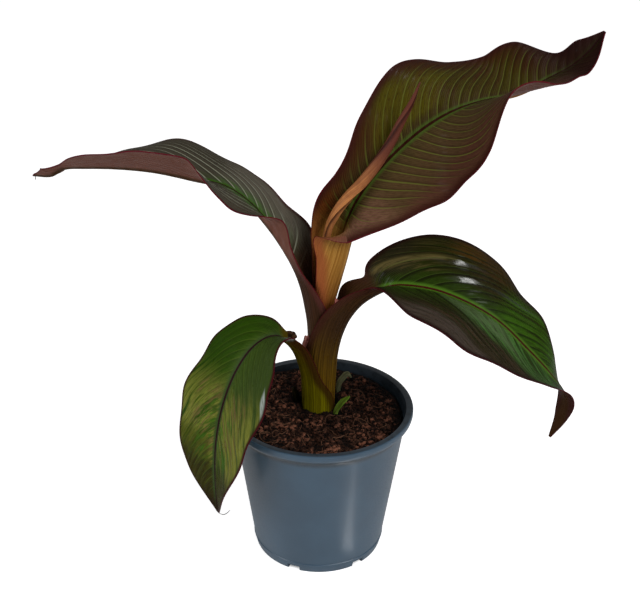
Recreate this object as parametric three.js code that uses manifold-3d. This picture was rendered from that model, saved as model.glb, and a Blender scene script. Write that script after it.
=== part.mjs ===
// A young red Abyssinian banana in a round nursery pot, about 0.35 m wide.
// Millimetres, +Z up, seen from the front along +Y. The origin is the centre of the pot's flat foot.
// Each leaf is one piece from its sheath in the stem, over its channelled stalk, to its tip.
import * as THREE from 'three';
import { mergeVertices } from 'three/addons/utils/BufferGeometryUtils.js';
import Module from 'manifold-3d';

const wasm = await Module();
wasm.setup();

// Pot
const POT_HEIGHT = 102.5;
const RIM_RADIUS = 60;
const RIM_DEPTH = 5;
const RIM_EDGE = 0.8;
const COLLAR_SLOPE = 3.5;
const MOUTH_EDGE = 0.4;
const WALL_TOP_RADIUS = 55.8;
const FOOT_RADIUS = 41.8;
const WALL = 1.5;
const FLOOR_UNDERSIDE = 4;
const FOOT_RING_WIDTH = 4;
const CENTRE_PAD_RADIUS = 14;
const FOOT_RING_HEIGHT = 7;
const FOOT_LEDGE = 0.4;
const FOOT_NOTCHES = 6;
const FOOT_NOTCH_WIDTH = 8;
const FOOT_NOTCH_HEIGHT = 4;
const FIRST_NOTCH_AZIMUTH = -52;
const DRAIN_HOLE_RADIUS = 4;
const DRAIN_HOLE_CIRCLE = 29;
const POT_SIDES = 64;

// Soil
const SOIL_TOP = 96.5;
const SOIL_RISE_TO_BACK = 0.035;
const SOIL_FALL_TO_RIGHT = 0.035;
const SOIL_RELIEF = 1;
const SOIL_RINGS = 9;
const SOIL_SIDES = 48;
const SOIL_SHOULDER_DEPTH = 6;
const FIT_GAP = 0.4;

// Stem: the sheaths of all the leaves, nested round one upright line
const STEM = new THREE.Vector2(0, 11);
const STEM_HOLE_RADIUS = 12.6;
const STEM_FOOT = 71;

// Holes for the small shoots and the dried leaf base: x, y and radius
const SHOOT_HOLES = [
  [10.2, -0.2, 2.2],
  [12.1, 26, 2.2],
  [-14.2, 14.3, 4],
];
const SHOOT_HOLE_DEPTH = 10;

// Leaves
const MARGIN_THICKNESS = 0.7;
const CELLS_PER_HALF = 6;
const RIB_SPREAD = 2.6;
const WAVES_FROM_WIDTH = 40;
const WAVES_FULL_WIDTH = 80;
const RIGHT_WAVE_SHIFT = 1.9;

const group = new THREE.Group();
const rad = THREE.MathUtils.degToRad;

function finish(name, geometry, colour, roughness) {
  const material = new THREE.MeshStandardMaterial({ color: colour, roughness, metalness: 0 });
  const mesh = new THREE.Mesh(geometry, material);
  mesh.name = name;
  group.add(mesh);
  return mesh;
}

// Solid booleans
function toSolid(geometry) {
  const bare = geometry.clone();
  bare.deleteAttribute('normal');
  bare.deleteAttribute('uv');
  const merged = mergeVertices(bare, 1e-4);
  return new wasm.Manifold(new wasm.Mesh({
    numProp: 3,
    vertProperties: new Float32Array(merged.attributes.position.array),
    triVerts: new Uint32Array(merged.index.array),
  }));
}

function toGeometry(solid) {
  const mesh = solid.getMesh();
  const geometry = new THREE.BufferGeometry();
  geometry.setAttribute('position', new THREE.BufferAttribute(mesh.vertProperties, 3));
  geometry.setIndex(new THREE.BufferAttribute(mesh.triVerts, 1));
  return geometry;
}

function upright(radius, low, high, x, y, sides = 24) {
  const cylinder = new THREE.CylinderGeometry(radius, radius, high - low, sides);
  cylinder.rotateX(Math.PI / 2);
  cylinder.translate(x, y, (low + high) / 2);
  return cylinder;
}

// A closed skin over rings of points that all have the same count, with both ends closed by a fan.
function skin(rings) {
  const count = rings[0].length;
  const points = rings.flat();
  const index = [];
  for (let i = 0; i + 1 < rings.length; i += 1) {
    for (let j = 0; j < count; j += 1) {
      const a = i * count + j;
      const b = i * count + (j + 1) % count;
      index.push(a, b, b + count, a, b + count, a + count);
    }
  }
  const last = (rings.length - 1) * count;
  for (let j = 1; j + 1 < count; j += 1) {
    index.push(0, j + 1, j, last, last + j, last + j + 1);
  }
  const geometry = new THREE.BufferGeometry();
  geometry.setAttribute('position', new THREE.Float32BufferAttribute(points.flatMap((p) => p.toArray()), 3));
  geometry.setIndex(index);
  return geometry;
}

// Pot
function wallRadius(z) {
  return FOOT_RADIUS + (WALL_TOP_RADIUS - FOOT_RADIUS) * z / (POT_HEIGHT - RIM_DEPTH);
}

function makePot() {
  const floorTop = FLOOR_UNDERSIDE + WALL;
  const collar = POT_HEIGHT - RIM_DEPTH;
  const outline = [
    [0, 0],
    [CENTRE_PAD_RADIUS - 1, 0],
    [CENTRE_PAD_RADIUS + 1, FLOOR_UNDERSIDE],
    [FOOT_RADIUS - FOOT_RING_WIDTH, FLOOR_UNDERSIDE],
    [FOOT_RADIUS - FOOT_RING_WIDTH, 0],
    [FOOT_RADIUS - 1, 0],
    [FOOT_RADIUS, 1],
    [wallRadius(FOOT_RING_HEIGHT) + FOOT_LEDGE, FOOT_RING_HEIGHT - 0.6],
    [wallRadius(FOOT_RING_HEIGHT), FOOT_RING_HEIGHT],
    [wallRadius(collar - COLLAR_SLOPE), collar - COLLAR_SLOPE],
    [RIM_RADIUS - RIM_EDGE, collar],
    [RIM_RADIUS, collar + 1],
    [RIM_RADIUS, POT_HEIGHT - RIM_EDGE],
    [RIM_RADIUS - RIM_EDGE, POT_HEIGHT],
    [WALL_TOP_RADIUS + MOUTH_EDGE, POT_HEIGHT],
    [WALL_TOP_RADIUS - MOUTH_EDGE, POT_HEIGHT - RIM_EDGE],
    [wallRadius(collar) - WALL, collar - 2],
    [wallRadius(floorTop + 1) - WALL, floorTop + 1],
    [wallRadius(floorTop) - WALL - 1, floorTop],
    [0, floorTop],
  ];
  const turned = new THREE.LatheGeometry(outline.map(([r, z]) => new THREE.Vector2(r, z)), POT_SIDES);
  turned.rotateX(Math.PI / 2);
  let pot = toSolid(turned);
  for (let i = 0; i < FOOT_NOTCHES; i += 1) {
    const angle = rad(FIRST_NOTCH_AZIMUTH + 360 / FOOT_NOTCHES * i);
    const notch = new THREE.BoxGeometry(FOOT_RING_WIDTH * 2 + 2, FOOT_NOTCH_WIDTH, FOOT_NOTCH_HEIGHT * 2);
    notch.translate(FOOT_RADIUS - 1, 0, 0);
    notch.rotateZ(angle);
    pot = pot.subtract(toSolid(notch));
    const x = DRAIN_HOLE_CIRCLE * Math.cos(angle);
    const y = DRAIN_HOLE_CIRCLE * Math.sin(angle);
    pot = pot.subtract(toSolid(upright(DRAIN_HOLE_RADIUS, -1, floorTop + 1, x, y, 16)));
  }
  return toGeometry(pot);
}

// Soil: loose coir, a little uneven, with plain holes for the stem and the small shoots
function soilTop(x, y) {
  const coarse = Math.sin(x * 0.19 + 1.3) * Math.cos(y * 0.17 - 0.6);
  const fine = Math.sin(x * 0.46 - y * 0.31) * Math.sin(y * 0.52 + 0.8);
  const slope = SOIL_RISE_TO_BACK * y - SOIL_FALL_TO_RIGHT * x;
  return SOIL_TOP + slope + SOIL_RELIEF * (0.7 * coarse + 0.5 * fine);
}

function makeSoil() {
  const bottom = FLOOR_UNDERSIDE + WALL + FIT_GAP;
  const inner = (z) => wallRadius(z) - WALL - FIT_GAP;
  const ring = (radius, height) => Array.from({ length: SOIL_SIDES }, (_, j) => {
    const angle = 2 * Math.PI * j / SOIL_SIDES;
    const x = radius * Math.cos(angle);
    const y = radius * Math.sin(angle);
    return new THREE.Vector3(x, y, height(x, y));
  });
  const rings = [ring(inner(bottom) - 2, () => bottom), ring(inner(bottom + 2), () => bottom + 2)];
  const shoulder = SOIL_TOP - SOIL_SHOULDER_DEPTH;
  const edge = inner(shoulder);
  rings.push(ring(edge, () => shoulder));
  for (let i = 0; i < SOIL_RINGS; i += 1) {
    rings.push(ring((edge - 0.3) * (1 - i / SOIL_RINGS), soilTop));
  }
  let soil = toSolid(skin(rings));
  const holes = SHOOT_HOLES.map((hole) => [...hole, SHOOT_HOLE_DEPTH]);
  holes.push([STEM.x, STEM.y, STEM_HOLE_RADIUS, SOIL_TOP - STEM_FOOT]);
  holes.forEach(([x, y, radius, depth]) => {
    soil = soil.subtract(toSolid(upright(radius, SOIL_TOP - depth, SOIL_TOP + 5, x, y)));
  });
  return toGeometry(soil);
}

// Leaves
// A row across a leaf is [x, y, z, left half, right half, rib]. The point is on the midrib's upper face.
// Each half is [width, rise, curl, sweep]: how wide it is, how far its chord rises from flat, how much
// it curls up on the way to the margin, all in degrees, and how far the margin runs ahead to the tip.
// The rib is the leaf's thickness on the midrib.
function sheath(azimuth, radius, z, wrapLeft, wrapRight, rib) {
  const angle = rad(azimuth);
  const half = (wrap) => [radius * rad(wrap), wrap / 2, wrap, 0];
  const x = STEM.x + radius * Math.cos(angle);
  const y = STEM.y + radius * Math.sin(angle);
  return [x, y, z, half(wrapLeft), half(wrapRight), rib];
}

const LEAVES = {
  leaf_1: {
    azimuth: 215,
    steps: 36,
    colour: 0x4f6130,
    waves: { height: 1.2, count: 9 },
    rows: [
      sheath(215, 10.8, 74.5, 125, 115, 1.2),
      sheath(215, 10.8, 96.5, 115, 105, 1.3),
      sheath(215, 10.9, 107.5, 98, 85, 1.4),
      [-9.8, 4.2, 119.5, [12.5, 34, 64, 0], [12, 32, 62, 0], 1.6],
      [-12, 2.6, 131.5, [10.5, 32, 64, 0], [10, 32, 64, 0], 2],
      [-15.6, 0, 143, [9, 30, 60, 0], [9, 36, 76, 0], 2.3],
      [-21, -3.6, 151.5, [8, 26, 50, 0], [8, 36, 60, 0], 2.3],
      [-27, -8, 156.5, [14, 18, 10, -3], [15, 26, 10, -4], 2.2],
      [-35, -14, 157, [26, 22, -10, -1], [23, 16, -10, -2], 2],
      [-44, -20, 151, [33, 6, -20, 0], [29, 8, -20, 0], 1.9],
      [-53, -26, 137, [37, -2, -20, 0], [32, 8, -20, 0], 1.7],
      [-60, -31, 116.5, [37.5, 2, -20, 0], [34, 14, -20, 0], 1.5],
      [-64, -34, 92.5, [33, 8, -10, 0], [33, 14, -10, 0], 1.3],
      [-65, -34.5, 66.5, [23, 21, 0, 0], [25, 14, 0, 0], 1.1],
      [-64, -34, 41.5, [0.8, 21, 0, 0], [0.8, 15, 0, 0], 0.9],
    ],
  },
  leaf_2: {
    azimuth: -20,
    steps: 40,
    colour: 0x2c3b1c,
    waves: { height: 1.2, count: 8 },
    rows: [
      sheath(-20, 9.1, 76.5, 160, 160, 1),
      sheath(-20, 9.1, 102.5, 160, 160, 1.1),
      sheath(-20, 9.5, 120.5, 140, 150, 1.4),
      [9.7, 7.3, 136.5, [20, 56, 108, 0], [23, 66, 124, 0], 1.8],
      [12.4, 6.2, 151.5, [17, 55, 96, -1], [20, 60, 112, 0], 2.2],
      [17.2, 4.8, 164.5, [14, 58, 56, -2], [17, 54, 90, 0], 2.6],
      [24, 2.2, 175.5, [16, 66, 40, -4], [13, 50, 70, 0], 2.8],
      [32.2, -1, 183.5, [12, 62, 20, -3], [10, 42, 50, 0], 2.7],
      [41, -4, 189, [20, 52, -10, -11], [12, 28, 0, -4], 2.5],
      [52, -8, 192, [33, 38, -20, -4], [24, 1, -10, 0], 2.3],
      [70, -14.5, 192, [42, 30, -30, 0], [38, -2, -10, 0], 2.1],
      [90, -21.5, 186.5, [45, 13, -30, 0], [44, -2, -10, 0], 1.9],
      [107, -28, 178, [40, 6, -20, 0], [41, -4, 0, 0], 1.7],
      [123, -34, 164, [30, 11, -10, 0], [31, -2, 10, 0], 1.4],
      [137, -39, 150.5, [19, -2, 0, 0], [18, 8, 30, 0], 1.2],
      [147, -42, 137.5, [10, -35, 20, 0], [10, 40, 20, 0], 1],
      [146, -43, 123.5, [5, -60, 20, 0], [5, 55, 20, 0], 0.9],
      [140, -44, 108.5, [0.8, -60, 0, 0], [0.8, 55, 0, 0], 0.8],
    ],
  },
  leaf_3: {
    azimuth: 175,
    steps: 38,
    colour: 0x433b35,
    waves: { height: 1, count: 9 },
    rows: [
      sheath(175, 6.9, 78.5, 165, 165, 0.9),
      sheath(175, 6.9, 129.5, 165, 165, 1),
      sheath(175, 7, 152.5, 150, 130, 1.3),
      [-8.4, 11.8, 167.5, [17, 62, 120, 0], [15, 58, 105, 0], 1.9],
      [-10.4, 12, 180.5, [13, 44, 84, 0], [14, 50, 90, 0], 2.6],
      [-14.5, 12.5, 193.5, [10.5, 24, 50, 0], [17, 50, 80, 0], 3],
      [-21.5, 13, 207.5, [13, 28, 50, 0], [21, 54, 60, 0], 3.2],
      [-31, 13.8, 221.5, [19, 44, 50, 0], [22, 26, 30, 0], 3],
      [-43, 14.6, 235.5, [27, 10, 0, 0], [30, 10, -10, 0], 2.6],
      [-58, 16, 245.5, [38, 12, -10, 0], [36, 1, -20, 0], 2.2],
      [-78, 18, 249.5, [42, 38, 0, 0], [41, 8, -30, 0], 2],
      [-100, 19.5, 253.5, [41, 36, 0, 0], [40, 8, -20, 0], 1.8],
      [-122, 21.5, 254.5, [36, 35, 0, 0], [36, -2, -20, 0], 1.5],
      [-143, 23.3, 253.7, [26, 34, 0, 0], [22, -8, 0, 0], 1.2],
      [-155, 24.4, 252.3, [9, 38, 0, 0], [12, -8, 0, 0], 1],
      [-164, 25.3, 247.2, [14, 42, 0, 0], [9, -10, 0, 0], 0.9],
      [-175, 26.5, 247, [0.8, 40, 0, 0], [0.8, 40, 0, 0], 0.8],
    ],
  },
  leaf_4: {
    azimuth: 18,
    steps: 40,
    colour: 0x45392a,
    waves: { height: 1.2, count: 8 },
    rows: [
      sheath(18, 5.4, 80.5, 165, 165, 0.9),
      sheath(18, 5.4, 134.5, 165, 165, 1),
      sheath(18, 5.6, 154.5, 160, 160, 1.5),
      [6.4, 13.1, 169.5, [14.5, 76, 144, 0], [15, 78, 150, 0], 2.6],
      [8.2, 13.7, 185.5, [17, 76, 140, 0], [17.5, 74, 140, 0], 4.6],
      [10.4, 14.4, 200.5, [20, 76, 134, 0], [21, 72, 134, 0], 6],
      [13, 15.1, 214.5, [23, 76, 112, 0], [26.5, 68, 110, 0], 6.6],
      [17.5, 16.6, 228.5, [24, 76, 80, 0], [19, 5, 20, -12], 5.8],
      [24.5, 19, 241.5, [20, 66, 40, 0], [30, -38, 0, -4], 5],
      [33.5, 22, 253.5, [23, 62, 20, 0], [38, -44, 10, 0], 4],
      [45, 25.5, 265.5, [31, 60, 0, 0], [42, -48, 20, 0], 3.4],
      [60, 30.5, 277.5, [42, 46, -10, 0], [46, -34, 30, 0], 3],
      [77, 36, 286.5, [50, 24, -20, 0], [53, -6, 20, 0], 2.6],
      [96, 42, 291.5, [52, 12, -10, 0], [52, 24, 10, 0], 2.2],
      [118, 49, 294, [47, 12, 0, 0], [56, 24, 0, 0], 1.8],
      [137, 56, 301.5, [41, 22, 0, 0], [40, 18, 0, 0], 1.5],
      [151, 60.5, 308, [17, 14, 0, 0], [26, 10, 0, 0], 1.2],
      [162, 63.6, 317, [10, 44, 0, 0], [12, 4, 0, 0], 1],
      [170, 66, 328, [0.8, 40, 0, 0], [0.8, 10, 0, 0], 0.8],
    ],
  },
};

// Two small shoots from the foot of the stem and the dried base of an older leaf
const SHOOTS = {
  green_shoot: {
    azimuth: 20,
    steps: 12,
    colour: 0x5c7f1e,
    waves: { height: 0, count: 0 },
    rows: [
      [11.1, -0.2, 87.5, [1.6, 70, 120, 0], [1.6, 70, 120, 0], 1],
      [10.9, -0.2, 95.5, [1.9, 60, 100, 0], [1.9, 60, 100, 0], 1],
      [12.3, -0.4, 100, [2.5, 36, 56, 0], [2.5, 36, 56, 0], 1],
      [15.1, -0.6, 104.5, [2.5, 26, 36, 0], [2.5, 26, 36, 0], 0.9],
      [18.9, -0.8, 109, [0.5, 20, 0, 0], [0.5, 20, 0, 0], 0.7],
    ],
  },
  wilted_shoot: {
    azimuth: 10,
    steps: 14,
    colour: 0x8f9878,
    waves: { height: 0, count: 0 },
    rows: [
      [13, 26, 88.5, [1.4, 70, 120, 0], [1.4, 70, 120, 0], 1],
      [12.7, 26, 96.5, [1.8, 60, 100, 0], [1.8, 60, 100, 0], 1],
      [13.5, 25.8, 102, [2.9, 46, 70, 0], [2.9, 46, 70, 0], 1],
      [15.7, 25.4, 106, [3.1, 40, 60, 0], [3.1, 40, 60, 0], 0.9],
      [18.3, 25, 109, [2.7, 46, 80, 0], [2.7, 46, 80, 0], 0.8],
      [20.7, 24.6, 108, [0.7, 20, 0, 0], [0.7, 20, 0, 0], 0.7],
    ],
  },
  dried_leaf_base: {
    azimuth: 165,
    steps: 8,
    colour: 0x2f2e12,
    waves: { height: 0, count: 0 },
    rows: [
      [-16, 14.5, 87.5, [4, 50, 90, 0], [4, 50, 90, 0], 1.4],
      [-16, 14.5, 95.5, [4, 50, 90, 0], [4, 50, 90, 0], 1.4],
      [-16.4, 14.6, 100.5, [3.6, 40, 80, 0], [3.6, 40, 80, 0], 1.2],
      [-17, 14.8, 105.5, [1.6, 30, 60, 0], [1.6, 30, 60, 0], 0.9],
    ],
  },
};

function between(rows, t) {
  const last = rows.length - 1;
  const place = Math.min(t * last, last - 1e-9);
  const i = Math.floor(place);
  const f = place - i;
  const b = rows[i];
  const c = rows[i + 1];
  return b.map((value, k) => {
    const before = i > 0 ? rows[i - 1][k] : 2 * value - c[k];
    const after = i + 2 <= last ? rows[i + 2][k] : 2 * c[k] - value;
    const slopeIn = (c[k] - before) / 2;
    const slopeOut = (after - value) / 2;
    const cubic = 2 * value - 2 * c[k] + slopeIn + slopeOut;
    const square = -3 * value + 3 * c[k] - 2 * slopeIn - slopeOut;
    return ((cubic * f + square) * f + slopeIn) * f + value;
  });
}

// The frame across the leaf at t: along it, to its left and out of its upper face.
function crossFrame(rows, t, azimuth) {
  const step = 0.004;
  const from = between(rows, Math.max(t - step, 0));
  const to = between(rows, Math.min(t + step, 1));
  const along = new THREE.Vector3(to[0] - from[0], to[1] - from[1], to[2] - from[2]).normalize();
  const left = new THREE.Vector3(-Math.sin(rad(azimuth)), Math.cos(rad(azimuth)), 0);
  left.addScaledVector(along, -left.dot(along)).normalize();
  return { along, left, up: new THREE.Vector3().crossVectors(along, left) };
}

// The two faces of the leaf at t and at v, from -1 on the right margin over 0 on the midrib to 1.
function leafPoint(row, frame, v, wave) {
  const [width, rise, curl, sweep] = v >= 0 ? row.slice(3, 7) : row.slice(7, 11);
  const rib = row[11];
  const a = Math.abs(v);
  const bend = rad(Math.abs(curl) < 0.5 ? 0.5 : curl);
  const start = rad(rise) - bend / 2;
  const angle = start + bend * a;
  const out = width * (Math.sin(angle) - Math.sin(start)) / bend * Math.sign(v);
  const lift = width * (Math.cos(start) - Math.cos(angle)) / bend + wave * a * a;
  const upper = new THREE.Vector3(row[0], row[1], row[2])
    .addScaledVector(frame.left, out)
    .addScaledVector(frame.up, lift)
    .addScaledVector(frame.along, sweep * a * a);
  const normal = frame.up.clone().multiplyScalar(Math.cos(angle))
    .addScaledVector(frame.left, -Math.sin(angle) * (v >= 0 ? 1 : -1));
  const ribReach = Math.max(0, 1 - a * width / (rib * RIB_SPREAD));
  const thickness = MARGIN_THICKNESS + (rib - MARGIN_THICKNESS) * ribReach * ribReach * (3 - 2 * ribReach);
  return [upper, upper.clone().addScaledVector(normal, -thickness)];
}

function makeLeaf({ azimuth, steps, rows, waves }) {
  const flat = rows.map((row) => row.flat());
  const rings = [];
  for (let i = 0; i <= steps; i += 1) {
    const t = i / steps;
    const row = between(flat, t);
    const frame = crossFrame(flat, t, azimuth);
    const share = THREE.MathUtils.smoothstep(row[3] + row[7], WAVES_FROM_WIDTH, WAVES_FULL_WIDTH);
    const upper = [];
    const lower = [];
    for (let j = -CELLS_PER_HALF; j <= CELLS_PER_HALF; j += 1) {
      const v = -j / CELLS_PER_HALF;
      const phase = v > 0 ? 0 : RIGHT_WAVE_SHIFT;
      const wave = waves.height * share * Math.sin(2 * Math.PI * waves.count * t + phase);
      const [top, under] = leafPoint(row, frame, v, wave);
      upper.push(top);
      lower.push(under);
    }
    rings.push([...upper, ...lower.reverse()]);
  }
  return skinStrip(rings);
}

// A closed skin over flat rings, each the upper row and then the lower row backwards.
// The lower face is split along the same diagonals as the upper face.
function skinStrip(rings) {
  const count = rings[0].length;
  const half = count / 2;
  const index = [];
  const quad = (a, b, c, d, flip) => {
    if (flip) {
      index.push(a, b, d, b, c, d);
    } else {
      index.push(a, b, c, a, c, d);
    }
  };
  for (let i = 0; i + 1 < rings.length; i += 1) {
    for (let j = 0; j < count; j += 1) {
      const a = i * count + j;
      const b = i * count + (j + 1) % count;
      quad(a, b, b + count, a + count, j >= half);
    }
  }
  const last = (rings.length - 1) * count;
  for (let j = 0; j + 1 < half; j += 1) {
    const opposite = count - 1 - j;
    index.push(j, opposite, j + 1, opposite, opposite - 1, j + 1);
    index.push(last + j, last + j + 1, last + opposite, last + opposite, last + j + 1, last + opposite - 1);
  }
  const geometry = new THREE.BufferGeometry();
  const points = rings.flat().flatMap((p) => p.toArray());
  geometry.setAttribute('position', new THREE.Float32BufferAttribute(points, 3));
  geometry.setIndex(index);
  return geometry;
}

// The youngest leaf, still rolled: [x, y, z, radius, lip] along its middle.
// The lip is how far the outer turn's edge stands off the roll.
const ROLLED_LEAF = [
  [0, 11, 82.5, 3.8, 0.3],
  [0, 11, 152.5, 3.8, 0.3],
  [0.6, 11, 187.5, 3.2, 0.4],
  [3.8, 11, 216.5, 2.4, 0.7],
  [8.2, 12, 228.5, 2.9, 1.4],
  [15.2, 13.5, 238.9, 3.3, 1.4],
  [24.1, 16.5, 248.5, 3.3, 1],
  [33.4, 19.5, 260.8, 3.2, 0.8],
  [40.3, 22, 271.5, 2.9, 0.7],
  [46, 24, 283.5, 2.6, 0.7],
  [51.8, 26, 294.5, 1.8, 0.5],
  [57, 28.4, 307, 0.4, 0.05],
];
const ROLL_AZIMUTH = 18;
const ROLL_STEPS = 34;
const ROLL_SIDES = 14;
const ROLL_TURN = 1.1;

function makeRolledLeaf() {
  const rings = [];
  for (let i = 0; i <= ROLL_STEPS; i += 1) {
    const t = i / ROLL_STEPS;
    const [x, y, z, radius, lip] = between(ROLLED_LEAF, t);
    const frame = crossFrame(ROLLED_LEAF, t, ROLL_AZIMUTH);
    const ring = [];
    for (let j = 0; j < ROLL_SIDES; j += 1) {
      const turn = j / ROLL_SIDES;
      const angle = 2 * Math.PI * (turn + ROLL_TURN * t);
      const reach = radius + lip * (turn - 0.5);
      ring.push(new THREE.Vector3(x, y, z)
        .addScaledVector(frame.left, reach * Math.cos(angle))
        .addScaledVector(frame.up, reach * Math.sin(angle)));
    }
    rings.push(ring);
  }
  return skin(rings);
}

group.name = 'potted_red_abyssinian_banana';
finish('pot', makePot(), 0x54626f, 0.45);
finish('soil', makeSoil(), 0x33211a, 0.95);
Object.entries(LEAVES).forEach(([name, leaf]) => {
  finish(name, makeLeaf(leaf), leaf.colour, 0.5);
});
finish('rolled_leaf', makeRolledLeaf(), 0x7a4a2c, 0.5);
Object.entries(SHOOTS).forEach(([name, shoot]) => {
  finish(name, makeLeaf(shoot), shoot.colour, 0.5);
});

export default group;
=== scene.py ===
# %% [markdown]
# # A young red banana plant in its nursery pot
#
# This lesson dresses a measured plant model. The measured model gives every piece its place and
# size, and is loaded first as a fixed frame. Each step then makes one piece or one finish.

# %% Load the measured model
import math
import random

import bmesh
import bpy
import numpy as np
from mathutils import Matrix, Vector, noise


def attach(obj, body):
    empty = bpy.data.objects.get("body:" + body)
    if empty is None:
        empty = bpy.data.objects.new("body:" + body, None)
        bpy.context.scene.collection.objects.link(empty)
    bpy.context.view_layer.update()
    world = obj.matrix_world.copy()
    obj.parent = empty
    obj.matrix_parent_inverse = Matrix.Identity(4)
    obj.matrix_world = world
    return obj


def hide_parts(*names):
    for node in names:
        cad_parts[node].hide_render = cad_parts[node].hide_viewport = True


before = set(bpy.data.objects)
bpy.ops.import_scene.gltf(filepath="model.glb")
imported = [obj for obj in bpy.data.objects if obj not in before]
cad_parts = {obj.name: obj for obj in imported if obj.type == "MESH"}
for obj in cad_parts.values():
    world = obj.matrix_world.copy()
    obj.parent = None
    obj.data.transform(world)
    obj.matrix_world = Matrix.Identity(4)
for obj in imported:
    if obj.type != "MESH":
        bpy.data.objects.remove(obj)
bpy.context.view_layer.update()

MM = 0.001
print("measured nodes:", sorted(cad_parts))

# %% [markdown]
# ## Camera
#
# The plant is seen from a little above, through a longish lens, so the pot's mouth is a flat oval.
# The camera could be aimed with a tracking constraint, but a rotation built from its own three
# directions says exactly how far it is tilted and rolled, and stays put when the lesson is rerun.

# %% Camera at the measured place
CAMERA_PLACE = Vector((0.0, -0.680, 0.5295))
PAN, TILT, ROLL = (math.radians(angle) for angle in (-0.03, 27.44, 0.57))
FOCAL_LENGTH = 70.31


def camera_rotation():
    forward = Vector((
        math.sin(PAN) * math.cos(TILT),
        math.cos(PAN) * math.cos(TILT),
        -math.sin(TILT),
    ))
    level = Vector((math.cos(PAN), -math.sin(PAN), 0.0))
    above = level.cross(forward)
    right = level * math.cos(ROLL) + above * math.sin(ROLL)
    up = above * math.cos(ROLL) - level * math.sin(ROLL)
    return Matrix((right, up, -forward)).transposed()


camera_data = bpy.data.cameras.new("camera")
camera_data.lens = FOCAL_LENGTH
camera_data.sensor_width = 36.0
camera_data.clip_start = 0.01
camera = bpy.data.objects.new("camera", camera_data)
camera.matrix_world = Matrix.Translation(CAMERA_PLACE) @ camera_rotation().to_4x4()
bpy.context.scene.collection.objects.link(camera)
bpy.context.scene.camera = camera
print("camera at", tuple(round(c, 3) for c in CAMERA_PLACE))

# %% [markdown]
# ## Studio light
#
# Leaves with a waxy skin show the lamps as long soft streaks, so the lamps are large and few: one
# high on the right and a weaker one on the left. Two more only make gleams: one above, for the waxy
# streaks of a leaf, and a narrow strip that lies on the floor, for the upright streak on the pot. A
# picture of a studio could light the plant too, but lamps can be moved and sized by hand.


# %% Lamps
def area_lamp(name, place, target, width, height, power):
    data = bpy.data.lights.new(name, "AREA")
    data.shape = "RECTANGLE"
    data.size = width
    data.size_y = height
    data.energy = power
    lamp = bpy.data.objects.new(name, data)
    direction = Vector(target) - Vector(place)
    lamp.rotation_euler = direction.to_track_quat("-Z", "Y").to_euler()
    lamp.location = place
    bpy.context.scene.collection.objects.link(lamp)
    return lamp


STRIP_PLACE, STRIP_SIZE, STRIP_WATTS = (0.060, -0.071, 0.001), (0.013, 0.078), 0.0065
STRIP_TURN = math.radians(51)

area_lamp("upper_right", (0.9, -0.85, 1.15), (0, 0, 0.18), 0.8, 0.8, 12.5)
area_lamp("left", (-1.2, -0.6, 0.8), (0, 0, 0.15), 0.6, 0.8, 8)
leaf_gleam = area_lamp("leaf_gleam", (0.62, 0.2, 1.2), (0.1, 0, 0.19), 0.8, 0.3, 8)
pot_gleam = area_lamp("pot_gleam", STRIP_PLACE, (0, 0, 1), *STRIP_SIZE, STRIP_WATTS)
pot_gleam.rotation_euler = (math.pi, 0.0, STRIP_TURN)
pot_gleam.visible_camera = False
for lamp in (leaf_gleam, pot_gleam):
    lamp.visible_diffuse = False
print("lamps:", [light.name for light in bpy.data.lights])

# %% Pale sky
SKY_LIGHT, SKY_SEEN = 0.2, 1.0

world = bpy.data.worlds.new("studio")
bpy.context.scene.world = world
world.use_nodes = True
sky = world.node_tree.nodes["Background"]
sky.inputs["Color"].default_value = (1.0, 1.0, 1.0, 1.0)
seen_directly = world.node_tree.nodes.new("ShaderNodeLightPath").outputs["Is Camera Ray"]
level = world.node_tree.nodes.new("ShaderNodeMapRange")
level.inputs["To Min"].default_value = SKY_LIGHT
level.inputs["To Max"].default_value = SKY_SEEN
world.node_tree.links.new(seen_directly, level.inputs["Value"])
world.node_tree.links.new(level.outputs["Result"], sky.inputs["Strength"])
bpy.context.scene.view_settings.view_transform = "Standard"
print("sky lights the plant at", SKY_LIGHT, "and is seen at", SKY_SEEN)

# %% [markdown]
# ## Small helpers for materials
#
# A material is a graph of nodes. Making each node by hand takes many lines, so a few helpers add a
# node, set its inputs and give back its output. Colours are given on a scale from 0 to 255
# and turned into the linear values that the shader expects.


# %% Colour and node helpers
def rgb(red, green, blue):
    def linear(value):
        value = value / 255
        return value / 12.92 if value <= 0.04045 else ((value + 0.055) / 1.055) ** 2.4
    return (linear(red), linear(green), linear(blue), 1.0)


def place_node(tree, kind, inputs, **settings):
    node = tree.nodes.new(kind)
    for key, value in settings.items():
        setattr(node, key, value)
    for key, value in inputs.items():
        if isinstance(value, bpy.types.NodeSocket):
            tree.links.new(value, node.inputs[key])
        else:
            node.inputs[key].default_value = value
    return node


def calc(tree, operation, first, second=0.0, third=0.0):
    inputs = {0: first, 1: second, 2: third}
    return place_node(tree, "ShaderNodeMath", inputs, operation=operation).outputs[0]


def product(tree, first, *others):
    for other in others:
        first = calc(tree, "MULTIPLY", first, other)
    return first


def ramp(tree, value, low, high, start=0.0, end=1.0):
    inputs = {"Value": value, "From Min": low, "From Max": high, "To Min": start, "To Max": end}
    node = place_node(tree, "ShaderNodeMapRange", inputs, interpolation_type="SMOOTHSTEP")
    return node.outputs["Result"]


def blend(tree, factor, first, second):
    inputs = {0: factor, 6: first, 7: second}
    return place_node(tree, "ShaderNodeMix", inputs, data_type="RGBA").outputs[2]


def vector(tree, x, y):
    return place_node(tree, "ShaderNodeCombineXYZ", {"X": x, "Y": y}).outputs[0]


def parts_of(tree, place):
    return place_node(tree, "ShaderNodeSeparateXYZ", {0: place}).outputs


def length_of(tree, place):
    return place_node(tree, "ShaderNodeVectorMath", {0: place}, operation="LENGTH").outputs["Value"]


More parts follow.
